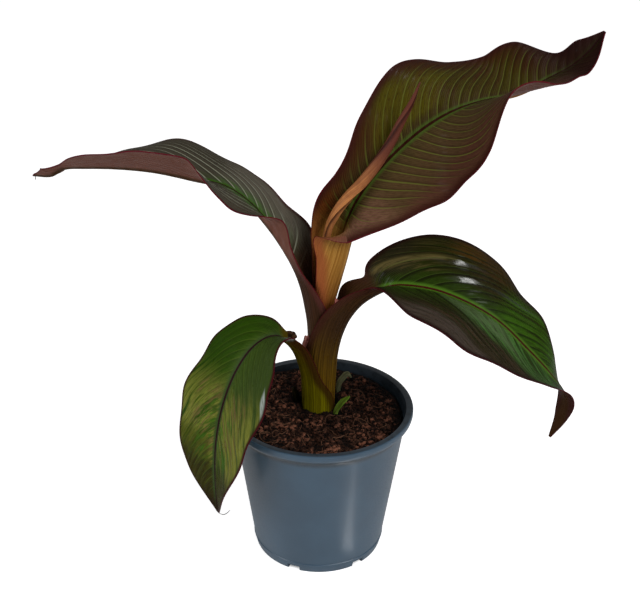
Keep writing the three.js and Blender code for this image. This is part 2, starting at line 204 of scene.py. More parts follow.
def noise_at(tree, place, scale, detail=3.0, roughness=0.55):
    inputs = {"Vector": place, "Scale": scale, "Detail": detail, "Roughness": roughness}
    return place_node(tree, "ShaderNodeTexNoise", inputs).outputs["Fac"]


def object_place(tree):
    return place_node(tree, "ShaderNodeTexCoord", {}).outputs["Object"]


def remembered(tree, name):
    node = place_node(tree, "ShaderNodeAttribute", {}, attribute_name=name)
    return parts_of(tree, node.outputs["Vector"])


def new_material(name):
    material = bpy.data.materials.new(name)
    material.use_nodes = True
    tree = material.node_tree
    return material, tree, tree.nodes["Principled BSDF"]


def bump(tree, shader, height, distance, strength):
    inputs = {"Height": height, "Distance": distance, "Strength": strength}
    tree.links.new(place_node(tree, "ShaderNodeBump", inputs).outputs[0], shader.inputs["Normal"])


def wear(piece, material):
    piece.data.materials.clear()
    piece.data.materials.append(material)


print("half of 255 is", round(rgb(127.5, 127.5, 127.5)[0], 3), "in linear light")

# %% [markdown]
# ## Shared effects as node groups
#
# Every leaf has lines that repeat at a set pitch: the side veins on the blade and the stripes on
# the stalk. Every surface also has cloudy patches of a second colour. Both effects are built once
# as node groups with named sockets and then placed in each material with values of its own.


# %% Group helper
def new_group(name, inputs, outputs):
    tree = bpy.data.node_groups.new(name, "ShaderNodeTree")
    for label, kind, value in inputs:
        socket = tree.interface.new_socket(label, in_out="INPUT", socket_type=kind)
        socket.default_value = value
    for label, kind in outputs:
        tree.interface.new_socket(label, in_out="OUTPUT", socket_type=kind)
    return tree, tree.nodes.new("NodeGroupInput").outputs, tree.nodes.new("NodeGroupOutput").inputs


def use_group(tree, group, **values):
    node = tree.nodes.new("ShaderNodeGroup")
    node.node_tree = group
    for label, value in values.items():
        socket = node.inputs[label.capitalize()]
        if isinstance(value, bpy.types.NodeSocket):
            tree.links.new(value, socket)
        else:
            socket.default_value = value
    return node.outputs


# %% Repeated lines
def make_line_group():
    tree, given, result = new_group(
        "Repeated lines",
        [
            ("Distance", "NodeSocketFloat", 0.0),
            ("Pitch", "NodeSocketFloat", 5.0),
            ("Width", "NodeSocketFloat", 0.4),
            ("Drift", "NodeSocketFloat", 0.0),
        ],
        [("Line", "NodeSocketFloat"), ("Swell", "NodeSocketFloat"), ("Shade", "NodeSocketFloat")],
    )
    drifted = calc(tree, "ADD", given["Distance"], given["Drift"])
    turns = calc(tree, "DIVIDE", drifted, given["Pitch"])
    off_line = calc(tree, "PINGPONG", turns, 0.5)
    away = calc(tree, "MULTIPLY", off_line, given["Pitch"])
    far = calc(tree, "DIVIDE", away, given["Width"])
    tree.links.new(ramp(tree, far, 1.0, 0.2), result["Line"])
    tree.links.new(ramp(tree, off_line, 0.0, 0.5), result["Swell"])
    # Shade is a painted shade along one side of each line, as in a groove.
    beside = calc(tree, "FRACT", turns)
    tree.links.new(ramp(tree, beside, 0.45, 0.04), result["Shade"])
    return tree


LINES = make_line_group()
print("shared group:", LINES.name)


# %% Cloudy patches
def make_patch_group():
    tree, given, result = new_group(
        "Cloudy patches",
        [
            ("Place", "NodeSocketVector", (0.0, 0.0, 0.0)),
            ("Scale", "NodeSocketFloat", 10.0),
            ("Low", "NodeSocketFloat", 0.45),
            ("High", "NodeSocketFloat", 0.6),
        ],
        [("Mask", "NodeSocketFloat")],
    )
    cloud = noise_at(tree, given["Place"], given["Scale"], 4.0, 0.6)
    tree.links.new(ramp(tree, cloud, given["Low"], given["High"]), result["Mask"])
    return tree


PATCHES = make_patch_group()
print("shared group:", PATCHES.name)

# %% [markdown]
# ## Measured rows of the leaves
#
# A leaf is drawn as a ribbon that is bent two ways: along its midrib, and across it in two halves.
# Sculpting it by hand would lose the measured outline. So each leaf keeps its rows: a point on the
# midrib, then for the left and the right half how wide it is, how far it rises from flat, how much
# it curls and how far its margin runs ahead, and last how thick the rib is. All are in millimetres
# and degrees. Smooth curves through the rows give as fine a mesh as the eye needs.

# %% Rows of the sheaths that wrap the stem
STEM_X, STEM_Y = 0.0, 11.0


def sheath(azimuth, radius, z, wrap_left, wrap_right, rib):
    angle = math.radians(azimuth)

    def half(wrap):
        return [radius * math.radians(wrap), wrap / 2, wrap, 0]

    x = STEM_X + radius * math.cos(angle)
    y = STEM_Y + radius * math.sin(angle)
    return [x, y, z, *half(wrap_left), *half(wrap_right), rib]


# %% Rows of the two lower leaves
LEAF_1_ROWS = [
    sheath(215, 10.8, 74.5, 125, 115, 1.2),
    sheath(215, 10.8, 96.5, 115, 105, 1.3),
    sheath(215, 10.9, 107.5, 98, 85, 1.4),
    [-9.8, 4.2, 119.5, 12.5, 34, 64, 0, 12, 32, 62, 0, 1.6],
    [-12, 2.6, 131.5, 10.5, 32, 64, 0, 10, 32, 64, 0, 2],
    [-15.6, 0, 143, 9, 30, 60, 0, 9, 36, 76, 0, 2.3],
    [-21, -3.6, 151.5, 8, 26, 50, 0, 8, 36, 60, 0, 2.3],
    [-27, -8, 156.5, 14, 18, 10, -3, 15, 26, 10, -4, 2.2],
    [-35, -14, 157, 26, 22, -10, -1, 23, 16, -10, -2, 2],
    [-44, -20, 151, 33, 6, -20, 0, 29, 8, -20, 0, 1.9],
    [-53, -26, 137, 37, -2, -20, 0, 32, 8, -20, 0, 1.7],
    [-60, -31, 116.5, 37.5, 2, -20, 0, 34, 14, -20, 0, 1.5],
    [-64, -34, 92.5, 33, 8, -10, 0, 33, 14, -10, 0, 1.3],
    [-65, -34.5, 66.5, 23, 21, 0, 0, 25, 14, 0, 0, 1.1],
    [-64, -34, 41.5, 0.8, 21, 0, 0, 0.8, 15, 0, 0, 0.9],
]
LEAF_2_ROWS = [
    sheath(-20, 9.1, 76.5, 160, 160, 1),
    sheath(-20, 9.1, 102.5, 160, 160, 1.1),
    sheath(-20, 9.5, 120.5, 140, 150, 1.4),
    [9.7, 7.3, 136.5, 20, 56, 108, 0, 23, 66, 124, 0, 1.8],
    [12.4, 6.2, 151.5, 17, 55, 96, -1, 20, 60, 112, 0, 2.2],
    [17.2, 4.8, 164.5, 14, 58, 56, -2, 17, 54, 90, 0, 2.6],
    [24, 2.2, 175.5, 16, 66, 40, -4, 13, 50, 70, 0, 2.8],
    [32.2, -1, 183.5, 12, 62, 20, -3, 10, 42, 50, 0, 2.7],
    [41, -4, 189, 20, 52, -10, -11, 12, 28, 0, -4, 2.5],
    [52, -8, 192, 33, 38, -20, -4, 24, 1, -10, 0, 2.3],
    [70, -14.5, 192, 42, 30, -30, 0, 38, -2, -10, 0, 2.1],
    [90, -21.5, 186.5, 45, 13, -30, 0, 44, -2, -10, 0, 1.9],
    [107, -28, 178, 40, 6, -20, 0, 41, -4, 0, 0, 1.7],
    [123, -34, 164, 30, 11, -10, 0, 31, -2, 10, 0, 1.4],
    [137, -39, 150.5, 19, -2, 0, 0, 18, 8, 30, 0, 1.2],
    [147, -42, 137.5, 10, -35, 20, 0, 10, 40, 20, 0, 1],
    [146, -43, 123.5, 5, -60, 20, 0, 5, 55, 20, 0, 0.9],
    [140, -44, 108.5, 0.8, -60, 0, 0, 0.8, 55, 0, 0, 0.8],
]
print("lower leaves:", len(LEAF_1_ROWS), "and", len(LEAF_2_ROWS), "rows")

# %% Rows of the two upper leaves
LEAF_3_ROWS = [
    sheath(175, 6.9, 78.5, 165, 165, 0.9),
    sheath(175, 6.9, 129.5, 165, 165, 1),
    sheath(175, 7, 152.5, 150, 130, 1.3),
    [-8.4, 11.8, 167.5, 17, 62, 120, 0, 15, 58, 105, 0, 1.9],
    [-10.4, 12, 180.5, 13, 44, 84, 0, 14, 50, 90, 0, 2.6],
    [-14.5, 12.5, 193.5, 10.5, 24, 50, 0, 17, 50, 80, 0, 3],
    [-21.5, 13, 207.5, 13, 28, 50, 0, 21, 54, 60, 0, 3.2],
    [-31, 13.8, 221.5, 19, 44, 50, 0, 22, 26, 30, 0, 3],
    [-43, 14.6, 235.5, 27, 10, 0, 0, 30, 10, -10, 0, 2.6],
    [-58, 16, 245.5, 38, 12, -10, 0, 36, 1, -20, 0, 2.2],
    [-78, 18, 249.5, 42, 38, 0, 0, 41, 8, -30, 0, 2],
    [-100, 19.5, 253.5, 41, 36, 0, 0, 40, 8, -20, 0, 1.8],
    [-122, 21.5, 254.5, 36, 35, 0, 0, 36, -2, -20, 0, 1.5],
    [-143, 23.3, 253.7, 26, 34, 0, 0, 22, -8, 0, 0, 1.2],
    [-155, 24.4, 252.3, 9, 38, 0, 0, 12, -8, 0, 0, 1],
    [-164, 25.3, 247.2, 14, 42, 0, 0, 9, -10, 0, 0, 0.9],
    [-175, 26.5, 247, 0.8, 40, 0, 0, 0.8, 40, 0, 0, 0.8],
]
LEAF_4_ROWS = [
    sheath(18, 5.4, 80.5, 165, 165, 0.9),
    sheath(18, 5.4, 134.5, 165, 165, 1),
    sheath(18, 5.6, 154.5, 160, 160, 1.5),
    [6.4, 13.1, 169.5, 14.5, 76, 144, 0, 15, 78, 150, 0, 2.6],
    [8.2, 13.7, 185.5, 17, 76, 140, 0, 17.5, 74, 140, 0, 4.6],
    [10.4, 14.4, 200.5, 20, 76, 134, 0, 21, 72, 134, 0, 6],
    [13, 15.1, 214.5, 23, 76, 112, 0, 26.5, 68, 110, 0, 6.6],
    [17.5, 16.6, 228.5, 24, 76, 80, 0, 19, 5, 20, -12, 5.8],
    [24.5, 19, 241.5, 20, 66, 40, 0, 30, -38, 0, -4, 5],
    [33.5, 22, 253.5, 23, 62, 20, 0, 38, -44, 10, 0, 4],
    [45, 25.5, 265.5, 31, 60, 0, 0, 42, -48, 20, 0, 3.4],
    [60, 30.5, 277.5, 42, 46, -10, 0, 46, -34, 30, 0, 3],
    [77, 36, 286.5, 50, 24, -20, 0, 53, -6, 20, 0, 2.6],
    [96, 42, 291.5, 52, 12, -10, 0, 52, 24, 10, 0, 2.2],
    [118, 49, 294, 47, 12, 0, 0, 56, 24, 0, 0, 1.8],
    [137, 56, 301.5, 41, 22, 0, 0, 40, 18, 0, 0, 1.5],
    [151, 60.5, 308, 17, 14, 0, 0, 26, 10, 0, 0, 1.2],
    [162, 63.6, 317, 10, 44, 0, 0, 12, 4, 0, 0, 1],
    [170, 66, 328, 0.8, 40, 0, 0, 0.8, 10, 0, 0, 0.8],
]
print("upper leaves:", len(LEAF_3_ROWS), "and", len(LEAF_4_ROWS), "rows")

# %% Rows of the small shoots and the dried leaf base
GREEN_SHOOT_ROWS = [
    [11.1, -0.2, 87.5, 1.6, 70, 120, 0, 1.6, 70, 120, 0, 1],
    [10.9, -0.2, 95.5, 1.9, 60, 100, 0, 1.9, 60, 100, 0, 1],
    [12.3, -0.4, 100, 2.5, 36, 56, 0, 2.5, 36, 56, 0, 1],
    [15.1, -0.6, 104.5, 2.5, 26, 36, 0, 2.5, 26, 36, 0, 0.9],
    [18.9, -0.8, 109, 0.5, 20, 0, 0, 0.5, 20, 0, 0, 0.7],
]
WILTED_SHOOT_ROWS = [
    [13, 26, 88.5, 1.4, 70, 120, 0, 1.4, 70, 120, 0, 1],
    [12.7, 26, 96.5, 1.8, 60, 100, 0, 1.8, 60, 100, 0, 1],
    [13.5, 25.8, 102, 2.9, 46, 70, 0, 2.9, 46, 70, 0, 1],
    [15.7, 25.4, 106, 3.1, 40, 60, 0, 3.1, 40, 60, 0, 0.9],
    [18.3, 25, 109, 2.7, 46, 80, 0, 2.7, 46, 80, 0, 0.8],
    [20.7, 24.6, 108, 0.7, 20, 0, 0, 0.7, 20, 0, 0, 0.7],
]
DRIED_BASE_ROWS = [
    [-16, 14.5, 87.5, 4, 50, 90, 0, 4, 50, 90, 0, 1.4],
    [-16, 14.5, 95.5, 4, 50, 90, 0, 4, 50, 90, 0, 1.4],
    [-16.4, 14.6, 100.5, 3.6, 40, 80, 0, 3.6, 40, 80, 0, 1.2],
    [-17, 14.8, 105.5, 1.6, 30, 60, 0, 1.6, 30, 60, 0, 0.9],
]
small_rows = (GREEN_SHOOT_ROWS, WILTED_SHOOT_ROWS, DRIED_BASE_ROWS)
print("small pieces:", [len(rows) for rows in small_rows], "rows")

# %% [markdown]
# ## From rows to a leaf
#
# The rows are joined by smooth curves. At each step along the midrib, both halves are laid out as
# arcs, and the lower face is set off from the upper by the leaf's thickness. Between side veins a
# living blade swells a little, so both faces rise and fall together by a fraction of a millimetre.
# Each point also remembers where it is on the leaf: its distance along the midrib, across from it
# and in from the margin. The finishes use these instead of an unwrapped picture.


# %% Smooth curves through the rows
def between(rows, t):
    rows = np.asarray(rows, dtype=float)
    last = len(rows) - 1
    place = np.minimum(np.asarray(t) * last, last - 1e-9)
    i = place.astype(int)
    f = (place - i)[:, None]
    b, c = rows[i], rows[i + 1]
    before = np.where((i > 0)[:, None], rows[np.maximum(i - 1, 0)], 2 * b - c)
    after = np.where((i + 2 <= last)[:, None], rows[np.minimum(i + 2, last)], 2 * c - b)
    slope_in, slope_out = (c - before) / 2, (after - b) / 2
    cubic = 2 * b - 2 * c + slope_in + slope_out
    square = -3 * b + 3 * c - 2 * slope_in - slope_out
    return ((cubic * f + square) * f + slope_in) * f + b


def unit(vectors):
    return vectors / np.linalg.norm(vectors, axis=-1, keepdims=True)


def cross_frames(rows, t, azimuth):
    step = 0.004
    ahead = between(rows, np.minimum(t + step, 1))[:, :3]
    behind = between(rows, np.maximum(t - step, 0))[:, :3]
    along = unit(ahead - behind)
    angle = math.radians(azimuth)
    level = np.array([-math.sin(angle), math.cos(angle), 0.0])
    left = unit(level - along * (along @ level)[:, None])
    return along, left, np.cross(along, left)


def smooth(value, low, high):
    share = np.clip((value - low) / (high - low), 0, 1)
    return share * share * (3 - 2 * share)


print("middle of leaf 4's midrib:", between(LEAF_4_ROWS, [0.5])[0, :3].round(1), "mm")


# %% Arcs of the two halves
INSIDE_MEASURED = 0.994
MIDRIB_CROWDING = 1.3
LEAST_CURL = 0.5
WAVE_LAG = 1.9


def across_shares(cells):
    even = np.linspace(1, -1, 2 * cells + 1)
    return (np.sign(even) * np.abs(even) ** MIDRIB_CROWDING)[None, :]


def half_measures(row, v):
    half = np.where((v >= 0)[..., None], row[:, None, 3:7], row[:, None, 7:11])
    width, rise, curl, sweep = (half[..., k] for k in range(4))
    bend = np.radians(np.where(np.abs(curl) < LEAST_CURL, LEAST_CURL, curl))
    return width * INSIDE_MEASURED, np.radians(rise) - bend / 2, bend, sweep


def margin_waves(t, v, wide, waves):
    depth, count = waves
    phase = np.where(v > 0, 0, WAVE_LAG)
    return depth * wide * np.sin(2 * np.pi * count * t[:, None] + phase)


# %% Thickness, lengths and veins
MARGIN_THICKNESS = 0.7
RIB_SPREAD = 2.6
WAVED_WIDTHS = (40, 80)
FAN_ROWS = 3
SWELL_PITCH = 7.5


def leaf_thickness(row, a, width):
    rib = row[:, 11][:, None]
    rib_share = smooth(1 - a * width / (rib * RIB_SPREAD), 0, 1)
    return MARGIN_THICKNESS + (rib - MARGIN_THICKNESS) * rib_share


def midrib_length(row):
    steps_along = np.linalg.norm(np.diff(row[:, :3], axis=0), axis=1)
    return np.concatenate([[0], np.cumsum(steps_along)])[:, None]


def vein_distance(length, across, width, lean):
    reach = np.abs(across) / np.maximum(width, 1)
    return length - np.abs(across) * lean * (0.55 + 0.45 * reach)


def vein_swell(vein, a, share):
    inner, outer = smooth(a, 0.05, 0.3), 1 - smooth(a, 0.75, 1)
    return share * inner * outer * np.sin(2 * np.pi * vein / SWELL_PITCH)


# %% Points on both faces of a leaf
def leaf_grid(rows, azimuth, steps, cells, waves, lean, swell, blade_rows):
    t = np.linspace(0, 1, steps + 1)
    row = between(rows, t)
    along, left, up = (side[:, None, :] for side in cross_frames(rows, t, azimuth))
    v = across_shares(cells)
    a = np.abs(v)
    width, start, bend, sweep = half_measures(row, v)
    angle = start + bend * a
    wide = smooth(row[:, 3] + row[:, 7], *WAVED_WIDTHS)[:, None]
    out = width * (np.sin(angle) - np.sin(start)) / bend * np.sign(v)
    lift = width * (np.cos(start) - np.cos(angle)) / bend
    lift = lift + margin_waves(t, v, wide, waves) * a * a
    upper = row[:, None, :3] + left * out[..., None] + up * lift[..., None]
    upper = upper + along * (sweep * a * a)[..., None]
    side = np.where(v >= 0, 1, -1)
    normal = up * np.cos(angle)[..., None] - left * (np.sin(angle) * side)[..., None]

    rows_along = t * (len(rows) - 1)
    first, full = blade_rows
    blade = smooth(rows_along, first, full)[:, None]
    fan = 0.35 + 0.65 * smooth(rows_along, first, full + FAN_ROWS)[:, None]
    length, across = midrib_length(row), v * width
    vein = vein_distance(length, across, width, lean * fan)
    upper = upper + normal * vein_swell(vein, a, swell * wide * blade)[..., None]
    lower = upper - normal * leaf_thickness(row, a, width)[..., None]
    length, blade = (np.broadcast_to(values, across.shape) for values in (length, blade))
    place = np.stack([length, across, width - np.abs(across)], axis=-1)
    return upper, lower, place, vein, blade


# %% Faces of a leaf
def grid_faces(rows, columns):
    i, j = np.meshgrid(np.arange(rows - 1), np.arange(columns - 1), indexing="ij")
    a = (i * columns + j).ravel()
    return np.stack([a, a + 1, a + columns + 1, a + columns], axis=1)


def shell_faces(rows, columns):
    total = rows * columns
    upper = grid_faces(rows, columns)
    lower = upper[:, ::-1] + total
    i = np.arange(rows - 1) * columns
    left = np.stack([i + total, i, i + columns, i + columns + total], axis=1)
    k = i + columns - 1
    right = np.stack([k, k + total, k + total + columns, k + columns], axis=1)
    j = np.arange(columns - 1)
    foot = np.stack([j, j + total, j + 1 + total, j + 1], axis=1)
    e = j + (rows - 1) * columns
    tip = np.stack([e + 1, e + 1 + total, e + total, e], axis=1)
    return np.concatenate([upper, lower, left, right, foot, tip])


# %% Helpers that place a piece
def place_piece(mesh, node=None):
    piece = bpy.data.objects.new(mesh.name, mesh)
    bpy.context.scene.collection.objects.link(piece)
    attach(piece, "root")
    if node:
        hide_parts(node)
    return piece


def add_piece(name, points, faces, slot, node=None):
    mesh = bpy.data.meshes.new(name)
    mesh.from_pydata([tuple(p) for p in np.asarray(points) * MM], [], [tuple(f) for f in faces])
    mesh.shade_smooth()
    return place_piece(mesh, node)


def remember(piece, name, values):
    layer = piece.data.attributes.new(name, "FLOAT_VECTOR", "POINT")
    layer.data.foreach_set("vector", np.ascontiguousarray(values, dtype=np.float32).ravel())


# %% A whole leaf
NO_BLADE = (90, 91)


def sharpen_margins(piece, rows, columns):
    mesh = piece.data
    ends = np.empty(len(mesh.edges) * 2, dtype=np.int32)
    mesh.edges.foreach_get("vertices", ends)
    ends = ends.reshape(-1, 2)
    column = (ends % (rows * columns)) % columns
    same_face = (ends[:, 0] < rows * columns) == (ends[:, 1] < rows * columns)
    on_left = (column == 0).all(axis=1)
    on_right = (column == columns - 1).all(axis=1)
    sharp = mesh.attributes.new("sharp_edge", "BOOLEAN", "EDGE")
    sharp.data.foreach_set("value", (same_face & (on_left | on_right)).tolist())


def make_leaf(
    name, rows, azimuth, slot,
    steps=260, cells=30, waves=(0, 0), lean=0.6, swell=0.0, blade_rows=NO_BLADE,
):
    upper, lower, place, vein, blade = leaf_grid(
        rows, azimuth, steps, cells, waves, lean, swell, blade_rows)
    count, columns = vein.shape
    points = np.concatenate([upper.reshape(-1, 3), lower.reshape(-1, 3)])
    piece = add_piece(name + "_skin", points, shell_faces(count, columns), slot, node=name)
    remember(piece, "on_leaf", np.concatenate([place.reshape(-1, 3)] * 2))
    ones = np.ones(vein.size)
    top = np.stack([vein.ravel(), blade.ravel(), ones], axis=1)
    under = np.stack([vein.ravel(), blade.ravel(), ones * 0], axis=1)
    remember(piece, "vein_blade_upper", np.concatenate([top, under]))
    sharpen_margins(piece, count, columns)
    print(name, "has", len(piece.data.polygons), "faces, midrib", round(place[-1, 0, 0]), "mm")
    return piece


# %% Make every leaf and shoot
leaf_1 = make_leaf(
    "leaf_1", LEAF_1_ROWS, 215, "green_leaf",
    waves=(1.2, 9), lean=1.5, swell=0.12, blade_rows=(5.9, 6.7),
)
leaf_2 = make_leaf(
    "leaf_2", LEAF_2_ROWS, -20, "dark_green_leaf",
    waves=(1.2, 8), lean=2.4, swell=0.25, blade_rows=(6.9, 7.9),
)
leaf_3 = make_leaf(
    "leaf_3", LEAF_3_ROWS, 175, "dusky_leaf",
    waves=(1.0, 9), lean=1.9, swell=0.15, blade_rows=(4.6, 6.2),
)
leaf_4 = make_leaf(
    "leaf_4", LEAF_4_ROWS, 18, "red_brown_leaf",
    waves=(1.2, 8), lean=0.9, swell=0.15, blade_rows=(5.4, 7.0),
)
green_shoot = make_leaf("green_shoot", GREEN_SHOOT_ROWS, 20, "shoot", steps=60, cells=10)
wilted_shoot = make_leaf("wilted_shoot", WILTED_SHOOT_ROWS, 10, "pale_shoot", steps=60, cells=10)
dried_base = make_leaf("dried_leaf_base", DRIED_BASE_ROWS, 165, "dried_leaf", steps=50, cells=12)

# %% [markdown]
# ## Knob and thin tissue
#
# A few small parts grow on the stalks: a dark curled knob where the first blade meets its stalk,
# and pink tissue at the edges of two sheaths. Small lumps that noise makes uneven are enough at
# this size, and sculpting each would show no more.

# %% Lumps on the sheaths
LUMP_DEPTH, LUMP_FINENESS = 0.35, 3.0


def make_lump(name, centre, size, seed, slot):
    body = bmesh.new()
    bmesh.ops.create_icosphere(body, subdivisions=4, radius=0.5)
    for vertex in body.verts:
        push = 1 + LUMP_DEPTH * noise.noise(vertex.co * LUMP_FINENESS + Vector((seed, 0, 0)))
        vertex.co = Vector([c * push * s for c, s in zip(vertex.co, size)]) + Vector(centre)
    points = [tuple(v.co) for v in body.verts]
    faces = [tuple(v.index for v in f.verts) for f in body.faces]
    body.free()
    return add_piece(name, points, faces, slot)


knob = make_lump("leaf_1_knob", (-18.8, 4.6, 149.6), (7.4, 5.0, 7.4), 2.0, "dried_leaf")
left_tissue = make_lump("left_tissue", (-8.6, 8.0, 142.5), (4.6, 4.0, 11.0), 5.0, "amber_leaf")
right_tissue = make_lump("right_tissue", (9.8, 2.5, 173.5), (2.6, 3.0, 8.0), 9.0, "amber_leaf")
print("lumps:", knob.name, left_tissue.name, right_tissue.name)

# %% [markdown]
# ## The rolled leaf
#
# The youngest leaf is still one tight scroll. A spiral cross-section swept along its middle shows
# the outer turn's edge as a thin step that winds up the roll. A plain cone would lose that edge.
# Each of its rows is a point of the middle, the radius, and the height of the step.

# %% Sweep the scroll
ROLL_ROWS = [
    [0, 11, 82.5, 3.8, 0.3],
    [0, 11, 152.5, 3.8, 0.3],
    [0.6, 11, 187.5, 3.2, 0.4],
    [3.8, 11, 216.5, 2.4, 0.7],
    [8.2, 12, 228.5, 2.9, 1.4],
    [15.2, 13.5, 238.9, 3.3, 1.4],
    [24.1, 16.5, 248.5, 3.3, 1],
    [33.4, 19.5, 260.8, 3.2, 0.8],
    [40.3, 22, 271.5, 2.9, 0.7],
    [46, 24, 283.5, 2.6, 0.7],
    [51.8, 26, 294.5, 1.8, 0.5],
    [57, 28.4, 307, 0.4, 0.05],
]
ROLL_AZIMUTH = 18
ROLL_TURN = 1.1
ROLL_LENGTH, ROLL_AROUND = 250.0, 24.0


def ring_faces(rings, sides):
    faces = []
    for i in range(rings - 1):
        for j in range(sides):
            a, b = i * sides + j, i * sides + (j + 1) % sides
            faces.append((a, b, b + sides, a + sides))
    faces.append(tuple(range(sides - 1, -1, -1)))
    faces.append(tuple((rings - 1) * sides + j for j in range(sides)))
    return faces


def make_roll(steps=220, sides=56):
    t = np.linspace(0, 1, steps + 1)
    row = between(ROLL_ROWS, t)
    _, left, up = (side[:, None, :] for side in cross_frames(ROLL_ROWS, t, ROLL_AZIMUTH))
    turn = (np.arange(sides) / (sides - 1))[None, :]
    angle = 2 * np.pi * (turn + ROLL_TURN * t[:, None])
    reach = row[:, 3:4] + row[:, 4:5] * (turn - 0.5)
    points = row[:, None, :3] + left * (reach * np.cos(angle))[..., None]
    points = points + up * (reach * np.sin(angle))[..., None]
    points, faces = points.reshape(-1, 3), ring_faces(steps + 1, sides)
    piece = add_piece("rolled_leaf_skin", points, faces, "amber_leaf", node="rolled_leaf")
    length = np.broadcast_to(t[:, None] * ROLL_LENGTH, angle.shape)
    around = np.broadcast_to(turn * ROLL_AROUND, angle.shape)
    remember(piece, "on_leaf", np.stack([length, around, length * 0], axis=-1))
    return piece


rolled_leaf = make_roll()
print("rolled leaf has", len(rolled_leaf.data.polygons), "faces")

# %% [markdown]
# ## The pot
#
# A nursery pot is moulded in one go: a thin tapered wall, an outer rim, and a foot ring that is cut
# by notches so that water runs off. Turning an outline gives the wall, as on a lathe, and cutters
# take out the notches and the drain holes. Small rounds on the rim catch the light.

# %% Turn the outline
POT_HEIGHT, RIM_RADIUS, RIM_DEPTH = 102.5, 60.0, 5.0
WALL_TOP_RADIUS, FOOT_RADIUS, WALL = 55.8, 41.8, 1.5
COLLAR = POT_HEIGHT - RIM_DEPTH
FLOOR_UNDERSIDE = 4.0
FLOOR_TOP = FLOOR_UNDERSIDE + WALL


def wall_radius(z):
    return FOOT_RADIUS + (WALL_TOP_RADIUS - FOOT_RADIUS) * z / COLLAR


POT_OUTLINE = [
    (13, 0), (14, 2), (15, FLOOR_UNDERSIDE),
    (FOOT_RADIUS - 4, FLOOR_UNDERSIDE), (FOOT_RADIUS - 4, 0), (FOOT_RADIUS - 1, 0),
    (FOOT_RADIUS - 0.3, 0.3), (FOOT_RADIUS, 1),
    (wall_radius(6.4) + 0.4, 6.4), (wall_radius(6.7) + 0.35, 6.7), (wall_radius(7), 7),
    (wall_radius(30), 30), (wall_radius(60), 60), (wall_radius(90), 90),
    (wall_radius(COLLAR - 4.6), COLLAR - 4.6), (wall_radius(COLLAR - 3.6) + 0.25, COLLAR - 3.6),
    (RIM_RADIUS - 3.4, COLLAR - 2.4), (RIM_RADIUS - 2.1, COLLAR - 1.2), (RIM_RADIUS - 0.9, COLLAR),
    (RIM_RADIUS - 0.3, COLLAR + 1.0), (RIM_RADIUS, COLLAR + 2.2),
    (RIM_RADIUS, POT_HEIGHT - 0.9), (RIM_RADIUS - 0.25, POT_HEIGHT - 0.25),
    (RIM_RADIUS - 0.9, POT_HEIGHT),
    (WALL_TOP_RADIUS + 0.4, POT_HEIGHT), (WALL_TOP_RADIUS - 0.2, POT_HEIGHT - 0.25),
    (WALL_TOP_RADIUS - 0.4, POT_HEIGHT - 0.8),
    (wall_radius(COLLAR) - WALL, COLLAR - 2), (wall_radius(50) - WALL, 50),
    (wall_radius(FLOOR_TOP + 1) - WALL, FLOOR_TOP + 1),
    (wall_radius(FLOOR_TOP) - WALL - 1, FLOOR_TOP),
]
POT_SIDES = 256


def turned(outline, sides):
    angle = np.arange(sides) * 2 * np.pi / sides
    radius, height = np.array(outline).T
    x = radius[:, None] * np.cos(angle)
    y = radius[:, None] * np.sin(angle)
    z = np.broadcast_to(height[:, None], x.shape)
    points = np.stack([x, y, z], axis=-1).reshape(-1, 3)
    return points, ring_faces(len(outline), sides)


pot = add_piece("pot_skin", *turned(POT_OUTLINE, POT_SIDES), "pot_plastic", node="pot")
print("pot outline has", len(POT_OUTLINE), "points")

# %% Shapes that cut the notches and drain holes
NOTCHES, FIRST_NOTCH = 6, -52
NOTCH_SIZE, NOTCH_REACH = (10, 8, 8), 40.8
HOLE_RADIUS, HOLE_REACH, HOLE_HEIGHT, HOLE_DEPTH = 4, 29, 4, 6


def add_rod(body, matrix, radius, depth, segments):
    bmesh.ops.create_cone(
        body, segments=segments, radius1=radius * MM, radius2=radius * MM, depth=depth * MM,
        cap_ends=True, matrix=matrix,
    )


def mesh_from(body, name):
    mesh = bpy.data.meshes.new(name)
    body.to_mesh(mesh)
    body.free()
    return mesh


def make_cutters():
    cutters = bmesh.new()
    size = Matrix.Diagonal((*(side * MM for side in NOTCH_SIZE), 1))
    at_wall = Matrix.Translation((NOTCH_REACH * MM, 0, 0))
    at_hole = Matrix.Translation((HOLE_REACH * MM, 0, HOLE_HEIGHT * MM))
    for i in range(NOTCHES):
        turn = Matrix.Rotation(math.radians(FIRST_NOTCH + 360 / NOTCHES * i), 4, "Z")
        bmesh.ops.create_cube(cutters, size=1, matrix=turn @ at_wall @ size)
        add_rod(cutters, turn @ at_hole, HOLE_RADIUS, HOLE_DEPTH, 32)
    return mesh_from(cutters, "pot_cutters")


# %% Cut the notches and drain holes
CREASE = math.radians(38)


def cut(piece, cutter_mesh):
    cutter = bpy.data.objects.new(cutter_mesh.name, cutter_mesh)
    bpy.context.scene.collection.objects.link(cutter)
    modifier = piece.modifiers.new("cut", "BOOLEAN")
    modifier.operation = "DIFFERENCE"
    modifier.object = cutter
    modifier.solver = "EXACT"
    seen = bpy.context.evaluated_depsgraph_get()
    result = bpy.data.meshes.new_from_object(piece.evaluated_get(seen))
    piece.modifiers.clear()
    piece.data = result
    bpy.data.objects.remove(cutter)
    if not result.polygons:
        raise RuntimeError(piece.name + " was cut away completely")


cut(pot, make_cutters())
pot.data.shade_smooth()
pot.data.set_sharp_from_angle(angle=CREASE)
print("pot has", len(pot.data.polygons), "faces")

# %% [markdown]
# ## The soil
#
# Coir is chopped husk: crumbs, flakes and threads. One solid gives the body, raised by layered
# noise, with many small crumbs and thin threads on it. All the draws are seeded, so each run of
# the lesson gives the same soil.

# %% Uneven top of the soil
SOIL_TOP = 96.5
SOIL_SHOULDER = SOIL_TOP - 6
SOIL_BEVEL = 2
GAP = 0.4


